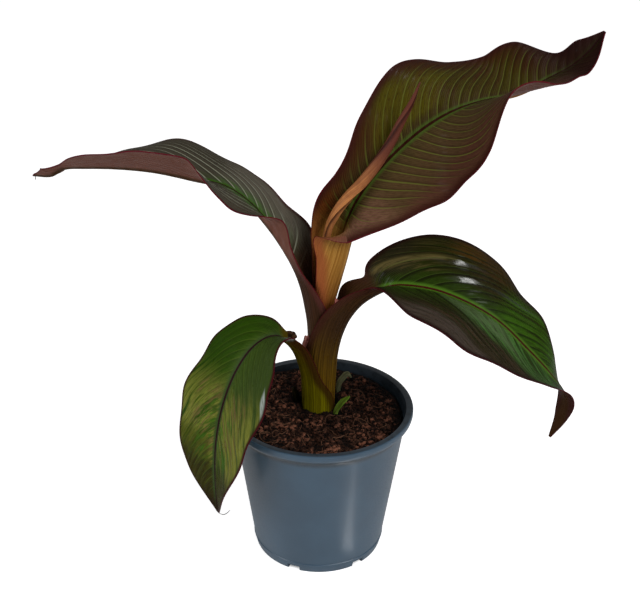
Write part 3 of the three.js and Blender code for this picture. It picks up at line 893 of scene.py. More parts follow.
def soil_top(x, y):
    coarse = math.sin(x * 0.19 + 1.3) * math.cos(y * 0.17 - 0.6)
    fine = math.sin(x * 0.46 - y * 0.31) * math.sin(y * 0.52 + 0.8)
    return SOIL_TOP + 0.035 * (y - x) + 0.7 * coarse + 0.5 * fine


def lumps(x, y):
    large = noise.noise(Vector((x * 0.22, y * 0.22, 3.0)))
    middle = noise.noise(Vector((x * 0.55, y * 0.55, 7.0)))
    small = noise.noise(Vector((x * 1.3, y * 1.3, 11.0)))
    return 1.3 * large + 1.2 * middle + 0.7 * small


def soil_radius(z):
    return wall_radius(z) - WALL - GAP


# %% Body of the soil
SOIL_EDGE = soil_radius(SOIL_SHOULDER)
EDGE_SETBACK, CALM_RINGS = 0.3, 4


def make_soil(rings=110, sides=240):
    bottom = FLOOR_TOP + GAP
    foot = bottom + SOIL_BEVEL
    levels = [(soil_radius(bottom) - SOIL_BEVEL, bottom), (soil_radius(foot), foot)]
    levels.append((SOIL_EDGE, SOIL_SHOULDER))
    points = []
    angles = [2 * math.pi * j / sides for j in range(sides)]
    for radius, z in levels:
        points += [(radius * math.cos(a), radius * math.sin(a), z) for a in angles]
    for i in range(rings):
        radius = (SOIL_EDGE - EDGE_SETBACK) * (1 - i / rings)
        for a in angles:
            x, y = radius * math.cos(a), radius * math.sin(a)
            points.append((x, y, soil_top(x, y) + lumps(x, y) * min(1, i / CALM_RINGS)))
    faces = ring_faces(len(levels) + rings, sides)
    return add_piece("soil_skin", points, faces, "coir", node="soil")


soil = make_soil()
print("soil is", round(2 * SOIL_EDGE), "mm wide at its top")

# %% Plain holes for the stem and the shoots
STEM_HOLE = (STEM_X, STEM_Y, 12.6)
SHOOT_HOLES = [(10.2, -0.2, 2.2), (12.1, 26, 2.2), (-14.2, 14.3, 4.0)]
STEM_HOLE_FLOOR, SHOOT_HOLE_FLOOR, HOLES_END = 71.0, 86.5, 102.0


def hole_cutter(x, y, radius, low):
    cutter = bmesh.new()
    depth = HOLES_END - low
    middle = Matrix.Translation((x * MM, y * MM, (low + depth / 2) * MM))
    add_rod(cutter, middle, radius, depth, 48)
    return mesh_from(cutter, "soil_cutter")


cut(soil, hole_cutter(*STEM_HOLE, STEM_HOLE_FLOOR))
for hole in SHOOT_HOLES:
    cut(soil, hole_cutter(*hole, SHOOT_HOLE_FLOOR))
soil.data.shade_smooth()
print("soil has", len(soil.data.polygons), "faces")


# %% Free spots on the soil
def clear_of_stem(x, y, room):
    holes = [STEM_HOLE, *SHOOT_HOLES]
    return all(math.hypot(x - hx, y - hy) > r + room for hx, hy, r in holes)


def soil_spot(draw, room, inset):
    while True:
        angle = draw.uniform(0, 2 * math.pi)
        radius = (SOIL_EDGE - inset) * math.sqrt(draw.random())
        x, y = radius * math.cos(angle), radius * math.sin(angle)
        if clear_of_stem(x, y, room):
            return x, y


# %% Crumbs of husk
CRUMB_SIZES = (0.7, 1.0, 1.4, 2.0, 3.0)
CRUMB_SEED = 7


def make_crumbs(count=2600):
    draw = random.Random(CRUMB_SEED)
    body = bmesh.new()
    for _ in range(count):
        size = draw.choice(CRUMB_SIZES)
        x, y = soil_spot(draw, size + 0.4, size + 1.2)
        z = soil_top(x, y) + lumps(x, y) + size * 0.18
        turn = Matrix.Rotation(draw.uniform(0, 6.28), 4, "Z")
        tip_over = Matrix.Rotation(draw.uniform(-1, 1), 4, "X")
        long, thick = size * draw.uniform(0.8, 1.7), size * draw.uniform(0.4, 0.8)
        shape = Matrix.Diagonal((long, size, thick, 1))
        place = Matrix.Translation((x, y, z)) @ (turn @ tip_over) @ shape
        made = bmesh.ops.create_icosphere(body, subdivisions=1, radius=0.5, matrix=place)
        for vertex in made["verts"]:
            push = noise.noise(vertex.co * 2.1) * size * 0.22
            vertex.co += Vector((push, -push, push * 0.5))
    bmesh.ops.scale(body, vec=(MM, MM, MM), verts=body.verts)
    return place_piece(mesh_from(body, "coir_crumbs"))


crumbs = make_crumbs()
print("crumbs have", len(crumbs.data.polygons), "faces")

# %% Thin threads
THREAD_STEPS, THREAD_SIDES = 8, 4


def thread_path(draw, length):
    x, y = soil_spot(draw, 3, 4)
    heading = draw.uniform(0, 2 * math.pi)
    turn = draw.uniform(-0.5, 0.5)
    arch = draw.uniform(0.1, 0.22) * length
    path = []
    for k in range(THREAD_STEPS + 1):
        rise = arch * math.sin(math.pi * k / THREAD_STEPS) * 0.6
        path.append(Vector((x, y, soil_top(x, y) + lumps(x, y) + rise)))
        heading += turn + draw.uniform(-0.25, 0.25)
        x += math.cos(heading) * length / THREAD_STEPS
        y += math.sin(heading) * length / THREAD_STEPS
    limit = SOIL_EDGE - 1.0
    inside = all(math.hypot(p.x, p.y) < limit and clear_of_stem(p.x, p.y, 0.6) for p in path)
    return path if inside else None


def sweep_thread(points, faces, path, radius):
    base = len(points)
    for k, place in enumerate(path):
        ahead = path[min(k + 1, THREAD_STEPS)] - path[max(k - 1, 0)]
        side = ahead.cross(Vector((0, 0, 1))).normalized()
        rise = side.cross(ahead).normalized()
        thin = radius * (0.35 + 0.65 * math.sin(math.pi * (k + 1) / (THREAD_STEPS + 2)))
        for q in range(THREAD_SIDES):
            angle = q * 2 * math.pi / THREAD_SIDES
            points.append(place + side * math.cos(angle) * thin + rise * math.sin(angle) * thin)
    for face in ring_faces(THREAD_STEPS + 1, THREAD_SIDES):
        faces.append(tuple(base + corner for corner in face))


# %% Threads of husk
def make_threads(name, count, lengths, radii, seed):
    draw = random.Random(seed)
    points, faces = [], []
    made = 0
    while made < count:
        path = thread_path(draw, draw.uniform(*lengths))
        if path:
            sweep_thread(points, faces, path, draw.uniform(*radii))
            made += 1
    return add_piece(name, [tuple(p) for p in points], faces, "coir")


dark_threads = make_threads("coir_threads", 1100, (3, 9), (0.1, 0.22), 11)
light_threads = make_threads("pale_threads", 90, (6, 20), (0.16, 0.28), 23)
for threads in (dark_threads, light_threads):
    print(threads.name, "have", len(threads.data.polygons), "faces")


# %% [markdown]
# ## Dry hairs at two leaf tips
#
# Two leaves end in a dry curled hair. It is the same swept thread as in the coir, so its helper is
# used again with a path that starts at the tip, reaches out and bows. A curve with a round profile
# would also do.

# %% Hairs
HAIR_RADIUS = 0.28
HAIRS = [
    # start, reach from there, and bow
    (Vector(LEAF_1_ROWS[-1][:3]), Vector((7.6, -1.0, 2.6)), Vector((0, 0, -2.4))),
    (
        Vector(LEAF_3_ROWS[-1][:3]) + Vector((0.6, 0, 0)),
        Vector((0.4, -0.3, -3.0)), Vector((0.6, 0, 0)),
    ),
]


def make_tip_hairs():
    points, faces = [], []
    for start, reach, bow in HAIRS:
        shares = [k / THREAD_STEPS for k in range(THREAD_STEPS + 1)]
        path = [start + reach * share + bow * math.sin(math.pi * share) for share in shares]
        sweep_thread(points, faces, path, HAIR_RADIUS)
    return add_piece("tip_hairs", [tuple(p) for p in points], faces, "dried_leaf")


tip_hairs = make_tip_hairs()
print("tip hairs have", len(tip_hairs.data.polygons), "faces")

# %% [markdown]
# ## Finish of the leaves
#
# The upper side of each leaf has a dark red midrib in a band of bright green, pale side veins, a
# darker outer half and a thin crimson margin. The underside is dusky. The stalk and sheath are
# striped lengthwise. A painted picture could hold all this, but it would blur close up. Here each
# mark is worked out from the leaf's own measures, so it stays sharp and follows the leaf's bends.
# The white gleams aren't drawn at all: small places get a coat of wax, and a lamp is mirrored
# there. Two marks are painted light: a painted shade in the groove beside each side vein, and a
# painted golden sheen on leaf 2.


# %% Where a point is on its leaf
def leaf_place(tree):
    at = dict(zip(("length", "across", "inward"), remembered(tree, "on_leaf")))
    at.update(zip(("vein", "blade", "upper"), remembered(tree, "vein_blade_upper")))
    at["away"] = calc(tree, "ABSOLUTE", at["across"])
    return at


# %% Masks on the blade
STREAK_ALONG, STREAK_OVER = 0.07, 0.24


def window(tree, value, edges):
    rising = ramp(tree, value, edges[0], edges[1])
    falling = ramp(tree, value, edges[3], edges[2])
    return product(tree, rising, falling)


def streak_place(tree, at):
    along_veins = product(tree, at["across"], STREAK_ALONG)
    over_veins = product(tree, at["vein"], STREAK_OVER)
    return vector(tree, over_veins, along_veins)


def cloud_mask(tree, place, scale, low, high):
    return use_group(tree, PATCHES, place=place, scale=scale, low=low, high=high)["Mask"]


def zone_mask(tree, at, streak, strength, lengths, sides, *cloud):
    masks = [window(tree, at["length"], lengths), window(tree, at["across"], sides)]
    if cloud:
        masks.append(cloud_mask(tree, streak, *cloud))
    return product(tree, *masks, strength)


def patch_mask(tree, at, strength, veins, sides):
    over, along = window(tree, at["vein"], veins), window(tree, at["across"], sides)
    broken = ramp(tree, noise_at(tree, streak_place(tree, at), 4.0), 0.3, 0.52)
    return product(tree, over, along, broken, strength)


# %% Colour of the blade's upper side
UNEVEN_REACH = 16.0


def upper_colour(tree, at, look):
    streak = streak_place(tree, at)
    side = ramp(tree, at["across"], -3.0, 3.0)
    outer = blend(tree, side, look["outer_right"], look["outer_left"])
    uneven = product(tree, noise_at(tree, streak, 1.2), UNEVEN_REACH)
    out_share = ramp(tree, calc(tree, "ADD", at["away"], uneven), *look["green_reach"])
    colour = blend(tree, out_share, look["inner"], outer)
    for shade, *zone in look["zones"]:
        colour = blend(tree, zone_mask(tree, at, streak, *zone), colour, shade)
    fine = product(tree, cloud_mask(tree, streak, 5.0, 0.35, 0.75), look["streaks"])
    return blend(tree, fine, colour, look["streak_and_shade_colour"])


# %% Veins of the blade
SMALL_VEINS = {"pitch": 1.25, "width": 0.35}
VEIN_FADE = (3.0, 16.0)


def vein_lines(tree, at, look):
    drift = product(tree, noise_at(tree, vector(tree, at["vein"], 0.0), 0.05), look["vein_drift"])
    sizes = {"pitch": look["vein_pitch"], "width": look["vein_width"]}
    main = use_group(tree, LINES, distance=at["vein"], drift=drift, **sizes)
    return main, use_group(tree, LINES, distance=at["vein"], **SMALL_VEINS)


def vein_marks(tree, at, look, main, small, colour):
    fade = ramp(tree, at["inward"], *VEIN_FADE)
    colour = blend(tree, product(tree, small["Line"], 0.16), colour, look["vein_colour"])
    # painted shade: a dark band in the groove beside each main vein, in the streak colour
    painted_groove_shade = product(tree, main["Shade"], fade, look["groove_shade"])
    colour = blend(tree, painted_groove_shade, colour, look["streak_and_shade_colour"])
    for shade, *patch in look["patches"]:
        colour = blend(tree, patch_mask(tree, at, *patch), colour, shade)
    strength = product(tree, main["Line"], fade, look["veins"])
    return blend(tree, strength, colour, look["vein_colour"])


# %% Midrib, margin and tip
def edge_marks(tree, at, look, colour):
    colour = blend(tree, ramp(tree, at["away"], 3.6, 1.2), colour, look["rib_border"])
    colour = blend(tree, ramp(tree, at["away"], 1.1, 0.6), colour, look["rib"])
    colour = blend(tree, ramp(tree, at["inward"], look["dusk_reach"], 0.4), colour, look["dusk"])
    tip = product(tree, ramp(tree, at["length"], *look["tip_reach"]), 0.9)
    colour = blend(tree, tip, colour, look["tip"])
    return blend(tree, ramp(tree, at["inward"], 0.5, 0.2), colour, look["margin"])


# %% Stripes of stalks and sheaths
STRIPE_OVER, STRIPE_ALONG = 0.8, 0.014
STRIPES = {"pitch": 1.5, "width": 0.55}
STRIPE_DRIFT = 2.2


def striped(tree, at, low, high, stripe, reach, strength=0.55):
    colour = blend(tree, ramp(tree, at["length"], *reach), low, high)
    over = product(tree, at["across"], STRIPE_OVER)
    along = product(tree, at["length"], STRIPE_ALONG)
    grain = noise_at(tree, vector(tree, over, along), 1.0, 4.0, 0.65)
    drift = product(tree, grain, STRIPE_DRIFT)
    lines = use_group(tree, LINES, distance=at["across"], drift=drift, **STRIPES)
    broad = product(tree, ramp(tree, grain, 0.4, 0.62), strength)
    colour = blend(tree, broad, colour, stripe)
    return blend(tree, product(tree, lines["Line"], strength * 0.7), colour, stripe), lines


# %% Underside, stalk and sheath
def under_colour(tree, at, look, small):
    fine = product(tree, small["Line"], 0.35)
    colour = blend(tree, fine, look["under"], look["under_vein"])
    colour = blend(tree, ramp(tree, at["away"], 5.0, 2.0), colour, look["under_rib"])
    return blend(tree, ramp(tree, at["inward"], 0.55, 0.25), colour, look["margin"])


def stalk_colour(tree, at, look):
    low, high, reach = look["sheath_low"], look["sheath_high"], look["wing_reach"]
    colour, lines = striped(tree, at, low, high, look["stripe"], look["sheath_reach"])
    wing = product(tree, ramp(tree, at["inward"], reach, reach * 0.4), 0.85)
    colour = blend(tree, wing, colour, look["wing"])
    colour = blend(tree, ramp(tree, at["inward"], 0.6, 0.2), colour, look["margin"])
    inside = blend(tree, 0.5, high, look["under_rib"])
    return blend(tree, product(tree, at["upper"], look["inside_dark"]), colour, inside), lines


# %% Wax and relief
FINE_RELIEF, STALK_RELIEF = 0.25, 0.35


def wax_mask(tree, at, look):
    cloud = cloud_mask(tree, streak_place(tree, at), 1.9, 0.5, 0.64)
    wax = product(tree, cloud, look["wax"])
    for gleam in look["gleams"]:
        wax = calc(tree, "MAXIMUM", wax, patch_mask(tree, at, *gleam))
    return product(tree, wax, product(tree, at["upper"], at["blade"]))


def leaf_relief(tree, at, main, small, lines):
    fine = product(tree, small["Swell"], FINE_RELIEF)
    on_blade = product(tree, at["blade"], calc(tree, "ADD", main["Swell"], fine))
    off_blade = calc(tree, "SUBTRACT", 1.0, at["blade"])
    on_stalk = product(tree, off_blade, product(tree, lines["Swell"], STALK_RELIEF))
    return calc(tree, "ADD", on_blade, on_stalk)


# %% A leaf's whole finish
WAX_ROUGHNESS, RELIEF_HEIGHT = 0.16, 0.6 * MM


def leaf_material(name, look):
    material, tree, shader = new_material(name)
    at = leaf_place(tree)
    main, small = vein_lines(tree, at, look)
    upper = vein_marks(tree, at, look, main, small, upper_colour(tree, at, look))
    upper = edge_marks(tree, at, look, upper)
    blade = blend(tree, at["upper"], under_colour(tree, at, look, small), upper)
    stalk, lines = stalk_colour(tree, at, look)
    tree.links.new(blend(tree, at["blade"], stalk, blade), shader.inputs["Base Color"])
    gloss = noise_at(tree, object_place(tree), 160.0)
    rough = ramp(tree, gloss, 0.3, 0.7, look["gloss"] - 0.06, look["gloss"] + 0.08)
    tree.links.new(rough, shader.inputs["Roughness"])
    tree.links.new(wax_mask(tree, at, look), shader.inputs["Coat Weight"])
    shader.inputs["Coat Roughness"].default_value = WAX_ROUGHNESS
    shader.inputs["Specular IOR Level"].default_value = look["shine"]
    relief = leaf_relief(tree, at, main, small, lines)
    bump(tree, shader, relief, RELIEF_HEIGHT, look["relief"])
    return material


# %% Look of leaf 1
# A zone is a colour, its strength, its reach along the leaf and across it, and, where it is
# streaky, the scale and edges of its streaks. A patch is a colour, its strength, its reach over
# the veins and across the leaf. A gleam is a patch of wax, so it has no colour.
ALL_ACROSS = (-99.0, -98.0, 98.0, 99.0)
LOOKS = {}
LOOKS["leaf_1"] = {
    "inner": rgb(68, 92, 34), "outer_left": rgb(58, 76, 32), "outer_right": rgb(40, 74, 6),
    "green_reach": (6.0, 30.0), "streaks": 0.6, "streak_and_shade_colour": rgb(34, 46, 8),
    "zones": [
        (rgb(38, 70, 5), 0.8, (80, 90, 125, 150), (-40, -30, -8, -2)),
        (rgb(140, 142, 60), 0.95, (122, 158, 186, 202), ALL_ACROSS, 0.5, 0.41, 0.52),
        (rgb(130, 104, 64), 0.8, (132, 146, 178, 192), (-26, -20, 22, 30), 1.3, 0.49, 0.57),
        (rgb(70, 76, 10), 0.75, (165, 178, 205, 222), (-40, -36, -8, -3)),
        (rgb(62, 112, 24), 0.85, (140, 160, 206, 216), (-22, -14, 16, 22), 1.6, 0.5, 0.58),
        (rgb(62, 50, 8), 0.9, (182, 200, 225, 228), ALL_ACROSS),
        (rgb(44, 28, 8), 0.8, (176, 196, 225, 228), ALL_ACROSS, 1.3, 0.45, 0.55),
    ],
    "patches": [(rgb(176, 186, 180), 0.9, (75, 78, 85, 89), (31.0, 33.0, 60, 61))],
    "gleams": [],
    "vein_pitch": 7.5, "vein_drift": 9.0, "vein_width": 0.5, "groove_shade": 0.35, "veins": 0.3,
    "vein_colour": rgb(104, 128, 46),
    "rib": rgb(44, 22, 26), "rib_border": rgb(62, 82, 40),
    "dusk": rgb(50, 30, 20), "dusk_reach": 2.5, "margin": rgb(74, 12, 22),
    "under": rgb(168, 172, 164), "under_vein": rgb(130, 136, 112), "under_rib": rgb(92, 86, 18),
    "sheath_low": rgb(156, 148, 14), "sheath_high": rgb(96, 80, 12), "sheath_reach": (20.0, 70.0),
    "stripe": rgb(76, 64, 4), "inside_dark": 0.6,
    "wing": rgb(66, 36, 16), "wing_reach": 7.0,
    "tip": rgb(40, 22, 12), "tip_reach": (206.0, 226.0), "wax": 0.02,
    "gloss": 0.32, "shine": 0.02, "relief": 0.7,
}
print("leaf_1 has", len(LOOKS["leaf_1"]["zones"]), "colour zones")

# %% Look of leaf 2
LOOKS["leaf_2"] = {
    "inner": rgb(42, 66, 12), "outer_left": rgb(38, 32, 5), "outer_right": rgb(44, 32, 22),
    "green_reach": (7.0, 30.0), "streaks": 0.75, "streak_and_shade_colour": rgb(18, 16, 6),
    "zones": [
        (rgb(44, 34, 26), 0.8, (110, 116, 132, 146), (4, 10, 60, 61)),
        (rgb(92, 78, 46), 0.6, (104, 114, 150, 168), (8, 12, 30, 38), 1.5, 0.52, 0.62),
        (rgb(98, 58, 14), 0.7, (150, 162, 185, 200), (24, 32, 60, 61), 0.8, 0.4, 0.55),
        (rgb(60, 38, 24), 0.7, (165, 178, 210, 225), (10, 18, 60, 61), 0.9, 0.42, 0.56),
        (rgb(66, 112, 20), 0.85, (186, 204, 246, 258), (2, 5, 26, 36), 0.8, 0.35, 0.55),
        (rgb(84, 134, 62), 0.8, (170, 190, 244, 258), (-22, -16, -3, -1), 1.1, 0.38, 0.56),
        (rgb(82, 60, 46), 0.7, (130, 145, 220, 240), (-60, -50, -24, -14), 0.9, 0.42, 0.6),
    ],
    "patches": [
        # painted reflection: a golden sheen, painted on leaf 2 as a colour patch
        (rgb(120, 106, 62), 0.5, (108, 112, 116, 121), (9, 13, 21, 27)),
        (rgb(96, 82, 76), 0.55, (66, 80, 110, 124), (-48, -40, -26, -16)),
        (rgb(96, 118, 76), 0.6, (150, 160, 190, 205), (-16, -12, -4, -2)),
    ],
    "gleams": [
        (1.0, (114, 117, 122, 126), (17, 20, 26, 29)),
        (1.0, (142, 145, 149, 152), (8, 10, 16, 19)),
        (1.0, (147, 150, 154, 158), (17, 20, 26, 29)),
    ],
    "vein_pitch": 11.0, "vein_drift": 9.0, "vein_width": 0.7, "groove_shade": 0.8, "veins": 0.3,
    "vein_colour": rgb(84, 108, 42),
    "rib": rgb(66, 20, 16), "rib_border": rgb(78, 118, 32),
    "dusk": rgb(40, 20, 16), "dusk_reach": 4.0, "margin": rgb(70, 18, 24),
    "under": rgb(60, 32, 26), "under_vein": rgb(74, 44, 36), "under_rib": rgb(60, 38, 20),
    "sheath_low": rgb(150, 114, 28), "sheath_high": rgb(70, 46, 26), "sheath_reach": (30.0, 85.0),
    "stripe": rgb(50, 32, 14), "inside_dark": 0.5,
    "wing": rgb(66, 36, 26), "wing_reach": 6.0,
    "tip": rgb(46, 22, 18), "tip_reach": (240.0, 256.0), "wax": 0.1,
    "gloss": 0.3, "shine": 0.03, "relief": 1.0,
}
print("leaf_2 has", len(LOOKS["leaf_2"]["zones"]), "colour zones")

# %% Look of leaf 3
LOOKS["leaf_3"] = {
    "inner": rgb(68, 78, 46), "outer_left": rgb(72, 62, 48), "outer_right": rgb(98, 90, 78),
    "green_reach": (4.0, 26.0), "streaks": 0.45, "streak_and_shade_colour": rgb(44, 36, 30),
    "zones": [
        (rgb(38, 28, 28), 0.85, (60, 80, 112, 136), ALL_ACROSS),
        (rgb(66, 108, 36), 0.8, (132, 146, 214, 250), (-9, -5, 3, 8), 0.9, 0.34, 0.52),
        (rgb(56, 48, 34), 0.8, (180, 196, 260, 280), ALL_ACROSS),
    ],
    "patches": [], "gleams": [],
    "vein_pitch": 9.0, "vein_drift": 6.0, "vein_width": 0.9, "groove_shade": 0.6, "veins": 0.95,
    "vein_colour": rgb(158, 160, 138),
    "rib": rgb(44, 16, 14), "rib_border": rgb(60, 98, 28),
    "dusk": rgb(62, 32, 28), "dusk_reach": 3.0, "margin": rgb(92, 20, 32),
    "under": rgb(114, 73, 61), "under_vein": rgb(132, 90, 76), "under_rib": rgb(70, 46, 26),
    "sheath_low": rgb(96, 70, 34), "sheath_high": rgb(72, 46, 32), "sheath_reach": (40.0, 95.0),
    "stripe": rgb(48, 30, 18), "inside_dark": 0.85,
    "wing": rgb(84, 46, 40), "wing_reach": 5.0,
    "tip": rgb(34, 22, 18), "tip_reach": (262.0, 300.0), "wax": 0.1,
    "gloss": 0.36, "shine": 0.03, "relief": 0.8,
}
print("leaf_3 has", len(LOOKS["leaf_3"]["zones"]), "colour zones")

# %% Look of leaf 4
LOOKS["leaf_4"] = {
    "inner": rgb(68, 54, 28), "outer_left": rgb(64, 28, 14), "outer_right": rgb(88, 50, 42),
    "green_reach": (6.0, 30.0), "streaks": 0.5, "streak_and_shade_colour": rgb(38, 22, 10),
    "zones": [
        (rgb(66, 58, 8), 0.85, (186, 208, 285, 305), (3, 8, 32, 44), 0.55, 0.32, 0.6),
        (rgb(80, 62, 38), 0.65, (140, 160, 250, 275), (-34, -24, -3, 0)),
        (rgb(122, 84, 68), 0.8, (100, 125, 158, 176), (-60, -50, -12, -4)),
        (rgb(110, 48, 14), 0.7, (96, 108, 140, 168), (6, 14, 60, 61)),
    ],
    "patches": [(rgb(88, 82, 12), 0.5, (176, 186, 222, 232), (6, 10, 30, 42))],
    "gleams": [],
    "vein_pitch": 6.6, "vein_drift": 6.0, "vein_width": 0.6, "groove_shade": 0.45, "veins": 0.6,
    "vein_colour": rgb(104, 112, 44),
    "rib": rgb(50, 20, 12), "rib_border": rgb(74, 92, 34),
    "dusk": rgb(58, 26, 20), "dusk_reach": 7.0, "margin": rgb(92, 20, 30),
    "under": rgb(104, 64, 52), "under_vein": rgb(120, 80, 64), "under_rib": rgb(140, 92, 24),
    "sheath_low": rgb(140, 82, 40), "sheath_high": rgb(200, 148, 72), "sheath_reach": (80.0, 130.0),
    "stripe": rgb(128, 78, 18), "inside_dark": 0.4,
    "wing": rgb(158, 84, 48), "wing_reach": 9.5,
    "tip": rgb(38, 18, 16), "tip_reach": (285.0, 322.0), "wax": 0.06,
    "gloss": 0.4, "shine": 0.02, "relief": 0.8,
}
print("leaf_4 has", len(LOOKS["leaf_4"]["zones"]), "colour zones")

# %% Give the leaves their finish
for leaf, name in zip((leaf_1, leaf_2, leaf_3, leaf_4), LOOKS):
    wear(leaf, leaf_material(name + "_finish", LOOKS[name]))
    print(leaf.name, "wears", leaf.data.materials[0].name)


# %% [markdown]
# ## Finish of the roll and the small shoots
#
# The scroll is amber at its foot and turns burgundy towards its tip. The shoots are plain green or
# faded. Each is one lengthwise striped skin, so they share one short recipe.

# %% Striped skins
SKIN_RELIEF = 0.2 * MM


def skin_material(name, low, high, stripe, reach, roughness):
    material, tree, shader = new_material(name)
    at = dict(zip(("length", "across"), remembered(tree, "on_leaf")))
    colour, lines = striped(tree, at, low, high, stripe, reach, 0.4)
    cloud = product(tree, cloud_mask(tree, object_place(tree), 180.0, 0.4, 0.7), 0.35)
    tree.links.new(blend(tree, cloud, colour, stripe), shader.inputs["Base Color"])
    shader.inputs["Roughness"].default_value = roughness
    shader.inputs["Specular IOR Level"].default_value = 0.1
    bump(tree, shader, lines["Swell"], SKIN_RELIEF, 0.5)
    return material


wear(rolled_leaf, skin_material(
    "roll_finish", rgb(206, 136, 78), rgb(100, 52, 42), rgb(108, 58, 40), (112.0, 178.0), 0.42))
wear(green_shoot, skin_material(
    "green_shoot_finish", rgb(160, 184, 80), rgb(140, 176, 56), rgb(92, 130, 34), (6.0, 24.0), 0.4))
wear(wilted_shoot, skin_material(
    "wilted_shoot_finish",
    rgb(146, 150, 108), rgb(168, 170, 130), rgb(108, 110, 76), (6.0, 24.0), 0.7))
wear(dried_base, skin_material(
    "dried_base_finish", rgb(24, 22, 12), rgb(52, 44, 14), rgb(18, 14, 8), (8.0, 18.0), 0.7))
for piece in (rolled_leaf, green_shoot, wilted_shoot, dried_base):
    print(piece.name, "wears", piece.data.materials[0].name)


# %% Painted shade along the seams of the roll
OUTER_SEAM_SHADE = (4.2, 0.6)
BACK_SEAM_SHADE = (11.0, 12.2, 12.6, 16.0)


def paint_seam_shade(material, colour):
    tree = material.node_tree
    around = remembered(tree, "on_leaf")[1]
    shader = tree.nodes["Principled BSDF"]
    before = shader.inputs["Base Color"].links[0].from_socket
    # painted shade: dark lines just under the scroll's outer edge and halfway round, for the shade
    # of the edge and of a fold
    both = calc(tree, "MAXIMUM", ramp(tree, around, *OUTER_SEAM_SHADE), window(tree, around, BACK_SEAM_SHADE))
    seams = blend(tree, product(tree, both, 0.85), before, colour)
    tree.links.new(seams, shader.inputs["Base Color"])


paint_seam_shade(rolled_leaf.data.materials[0], rgb(48, 20, 16))
print("roll's seams at", OUTER_SEAM_SHADE[1], "and", BACK_SEAM_SHADE[1], "mm of", ROLL_AROUND, "mm around")


# %% Plain finish of knob, tissue and hairs
def lump_material(name, low, high):
    material, tree, shader = new_material(name)
    cloud = noise_at(tree, object_place(tree), 300.0)
    tree.links.new(blend(tree, ramp(tree, cloud, 0.4, 0.6), low, high), shader.inputs["Base Color"])
    shader.inputs["Roughness"].default_value = 0.5
    shader.inputs["Specular IOR Level"].default_value = 0.15
    return material


for lump, low, high in (
    (tip_hairs, rgb(30, 20, 14), rgb(52, 36, 26)),
    (knob, rgb(44, 28, 14), rgb(76, 48, 24)),
    (left_tissue, rgb(168, 92, 84), rgb(204, 136, 124)),
    (right_tissue, rgb(168, 92, 84), rgb(204, 136, 124)),
):
    wear(lump, lump_material(lump.name + "_finish", low, high))
    print(lump.name, "wears", lump.data.materials[0].name)


# %% [markdown]
# ## Finish of the pot
#
# The plastic is an even slate blue with a satin skin, a few dark specks, and a slight unevenness
# that softens reflections. It needs no grain, so noise only touches its colour a little. Inside
# its mouth, above the coir, the wall is darkened by a painted shade.

# %% Specks and the painted shade inside the mouth
SPECK_SCALE, SPECK_EDGE = 62.0, (0.05, 0.03)
MOUTH_SHADE_RADII = (59.4 * MM, 59.0 * MM)
MOUTH_SHADE_HEIGHTS = (90.0 * MM, 93.5 * MM)


def speck_mask(tree, place):
    inputs = {"Vector": place, "Scale": SPECK_SCALE}
    spots = place_node(tree, "ShaderNodeTexVoronoi", inputs).outputs["Distance"]
    rare = calc(tree, "GREATER_THAN", noise_at(tree, place, 40.0, 1.0), 0.66)
    return product(tree, ramp(tree, spots, *SPECK_EDGE), rare)


def mouth_shade_mask(tree, place):
    parts = parts_of(tree, place)
    from_axis = length_of(tree, vector(tree, parts[0], parts[1]))
    inside = ramp(tree, from_axis, *MOUTH_SHADE_RADII)
    return product(tree, inside, ramp(tree, parts[2], *MOUTH_SHADE_HEIGHTS), 0.8)


# %% Moulded plastic
def pot_material():
    material, tree, shader = new_material("pot_finish")
    place = object_place(tree)
    cloud = ramp(tree, noise_at(tree, place, 22.0), 0.35, 0.65)
    colour = blend(tree, cloud, rgb(58, 81, 100), rgb(62, 87, 107))
    colour = blend(tree, speck_mask(tree, place), colour, rgb(30, 34, 38))
    # painted shade: the wall inside the mouth, above the coir, is painted dark and a little mottled
    mouth_shade_mottle = ramp(tree, noise_at(tree, place, 260.0), 0.5, 0.7)
    mouth_shade = blend(tree, mouth_shade_mottle, rgb(44, 52, 58), rgb(20, 22, 23))
    colour = blend(tree, mouth_shade_mask(tree, place), colour, mouth_shade)
    tree.links.new(colour, shader.inputs["Base Color"])
    fine = noise_at(tree, place, 900.0)
    tree.links.new(ramp(tree, fine, 0.3, 0.7, 0.34, 0.42), shader.inputs["Roughness"])
    shader.inputs["Coat Weight"].default_value = 0.17
    shader.inputs["Coat Roughness"].default_value = 0.18
    bump(tree, shader, noise_at(tree, place, 60.0), 0.3 * MM, 0.05)
    return material


wear(pot, pot_material())
print(pot.name, "wears", pot.data.materials[0].name)

# %% [markdown]
# ## Finish of the coir
#
# Damp coir is nearly black between the crumbs and warm brown on them. Noise at two sizes mixes the
# browns. The threads are lighter, and a few are straw-coloured.


# %% Coir browns
def coir_material(name, dark, light, scale):
    material, tree, shader = new_material(name)
    place = object_place(tree)
    cloud = noise_at(tree, place, scale, 6.0, 0.7)
    colour = blend(tree, ramp(tree, cloud, 0.42, 0.58), dark, light)
    damp = product(tree, cloud_mask(tree, place, 120.0, 0.42, 0.58), 0.8)
    tree.links.new(blend(tree, damp, colour, dark), shader.inputs["Base Color"])
    shader.inputs["Roughness"].default_value = 0.85
    shader.inputs["Specular IOR Level"].default_value = 0.12
    bump(tree, shader, noise_at(tree, place, scale * 3.0, 5.0, 0.7), RELIEF_HEIGHT, 0.8)
    return material


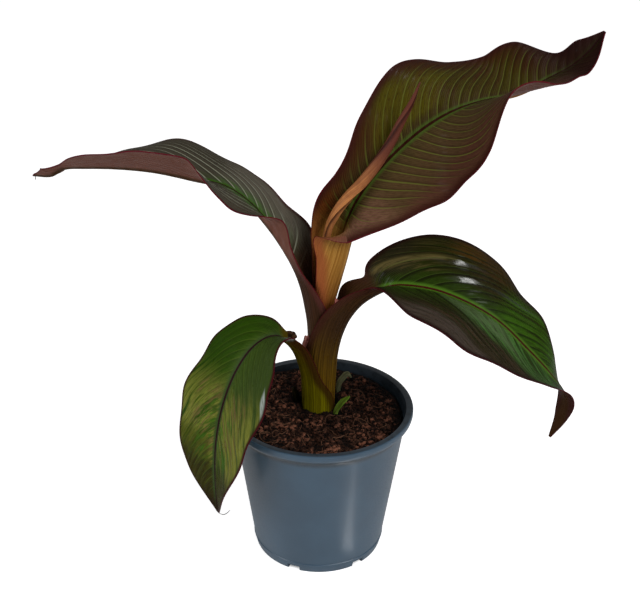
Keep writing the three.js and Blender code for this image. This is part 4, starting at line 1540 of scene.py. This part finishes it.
for piece, name, dark, light, scale in (
    (soil, "soil_finish", rgb(10, 7, 6), rgb(56, 35, 27), 420.0),
    (crumbs, "crumb_finish", rgb(16, 11, 8), rgb(146, 95, 73), 300.0),
    (dark_threads, "thread_finish", rgb(50, 31, 24), rgb(110, 70, 52), 120.0),
    (light_threads, "straw_finish", rgb(108, 74, 56), rgb(156, 118, 92), 120.0),
):
    wear(piece, coir_material(name, dark, light, scale))
    print(piece.name, "wears", name)


# %% [markdown]
# ## Floor
#
# The floor carries the soft shadow. A wide plain sheet fills the view from every side. It
# glows faintly, so that it looks as pale as the sky, but not in a round spot under the pot: that
# spot is a painted shadow, in which the notches of the foot look into the dark.

# %% Sheet
FLOOR_REACH = 6

corners = [(-1, -1), (1, -1), (1, 1), (-1, 1)]
floor_mesh = bpy.data.meshes.new("floor")
floor_mesh.from_pydata(
    [(x * FLOOR_REACH, y * FLOOR_REACH, 0) for x, y in corners], [], [(0, 1, 2, 3)])
floor = bpy.data.objects.new("floor", floor_mesh)
bpy.context.scene.collection.objects.link(floor)
print("floor is", 2 * FLOOR_REACH, "m wide")

# %% Pale finish of the floor
EXTRA_GLOW_SEEN, GLOW = 0.68, 0.07
PAINTED_SHADOW_SPOT = (37 * MM, 41 * MM)

floor_finish, floor_tree, floor_shader = new_material("floor_finish")
floor_shader.inputs["Base Color"].default_value = (0.9, 0.9, 0.9, 1.0)
floor_shader.inputs["Roughness"].default_value = 0.9
floor_shader.inputs["Emission Color"].default_value = (1.0, 1.0, 1.0, 1.0)
floor_light = place_node(floor_tree, "ShaderNodeLightPath", {}).outputs["Is Camera Ray"]
floor_glow = calc(floor_tree, "MULTIPLY_ADD", floor_light, EXTRA_GLOW_SEEN, GLOW)
# painted shadow: the floor's glow is cut away in a round spot under the pot
outside_painted_shadow = ramp(floor_tree, length_of(floor_tree, object_place(floor_tree)), *PAINTED_SHADOW_SPOT)
floor_tree.links.new(
    product(floor_tree, floor_glow, outside_painted_shadow), floor_shader.inputs["Emission Strength"])
wear(floor, floor_finish)
print("floor's glow ends", round(PAINTED_SHADOW_SPOT[1] / MM), "mm from the middle")
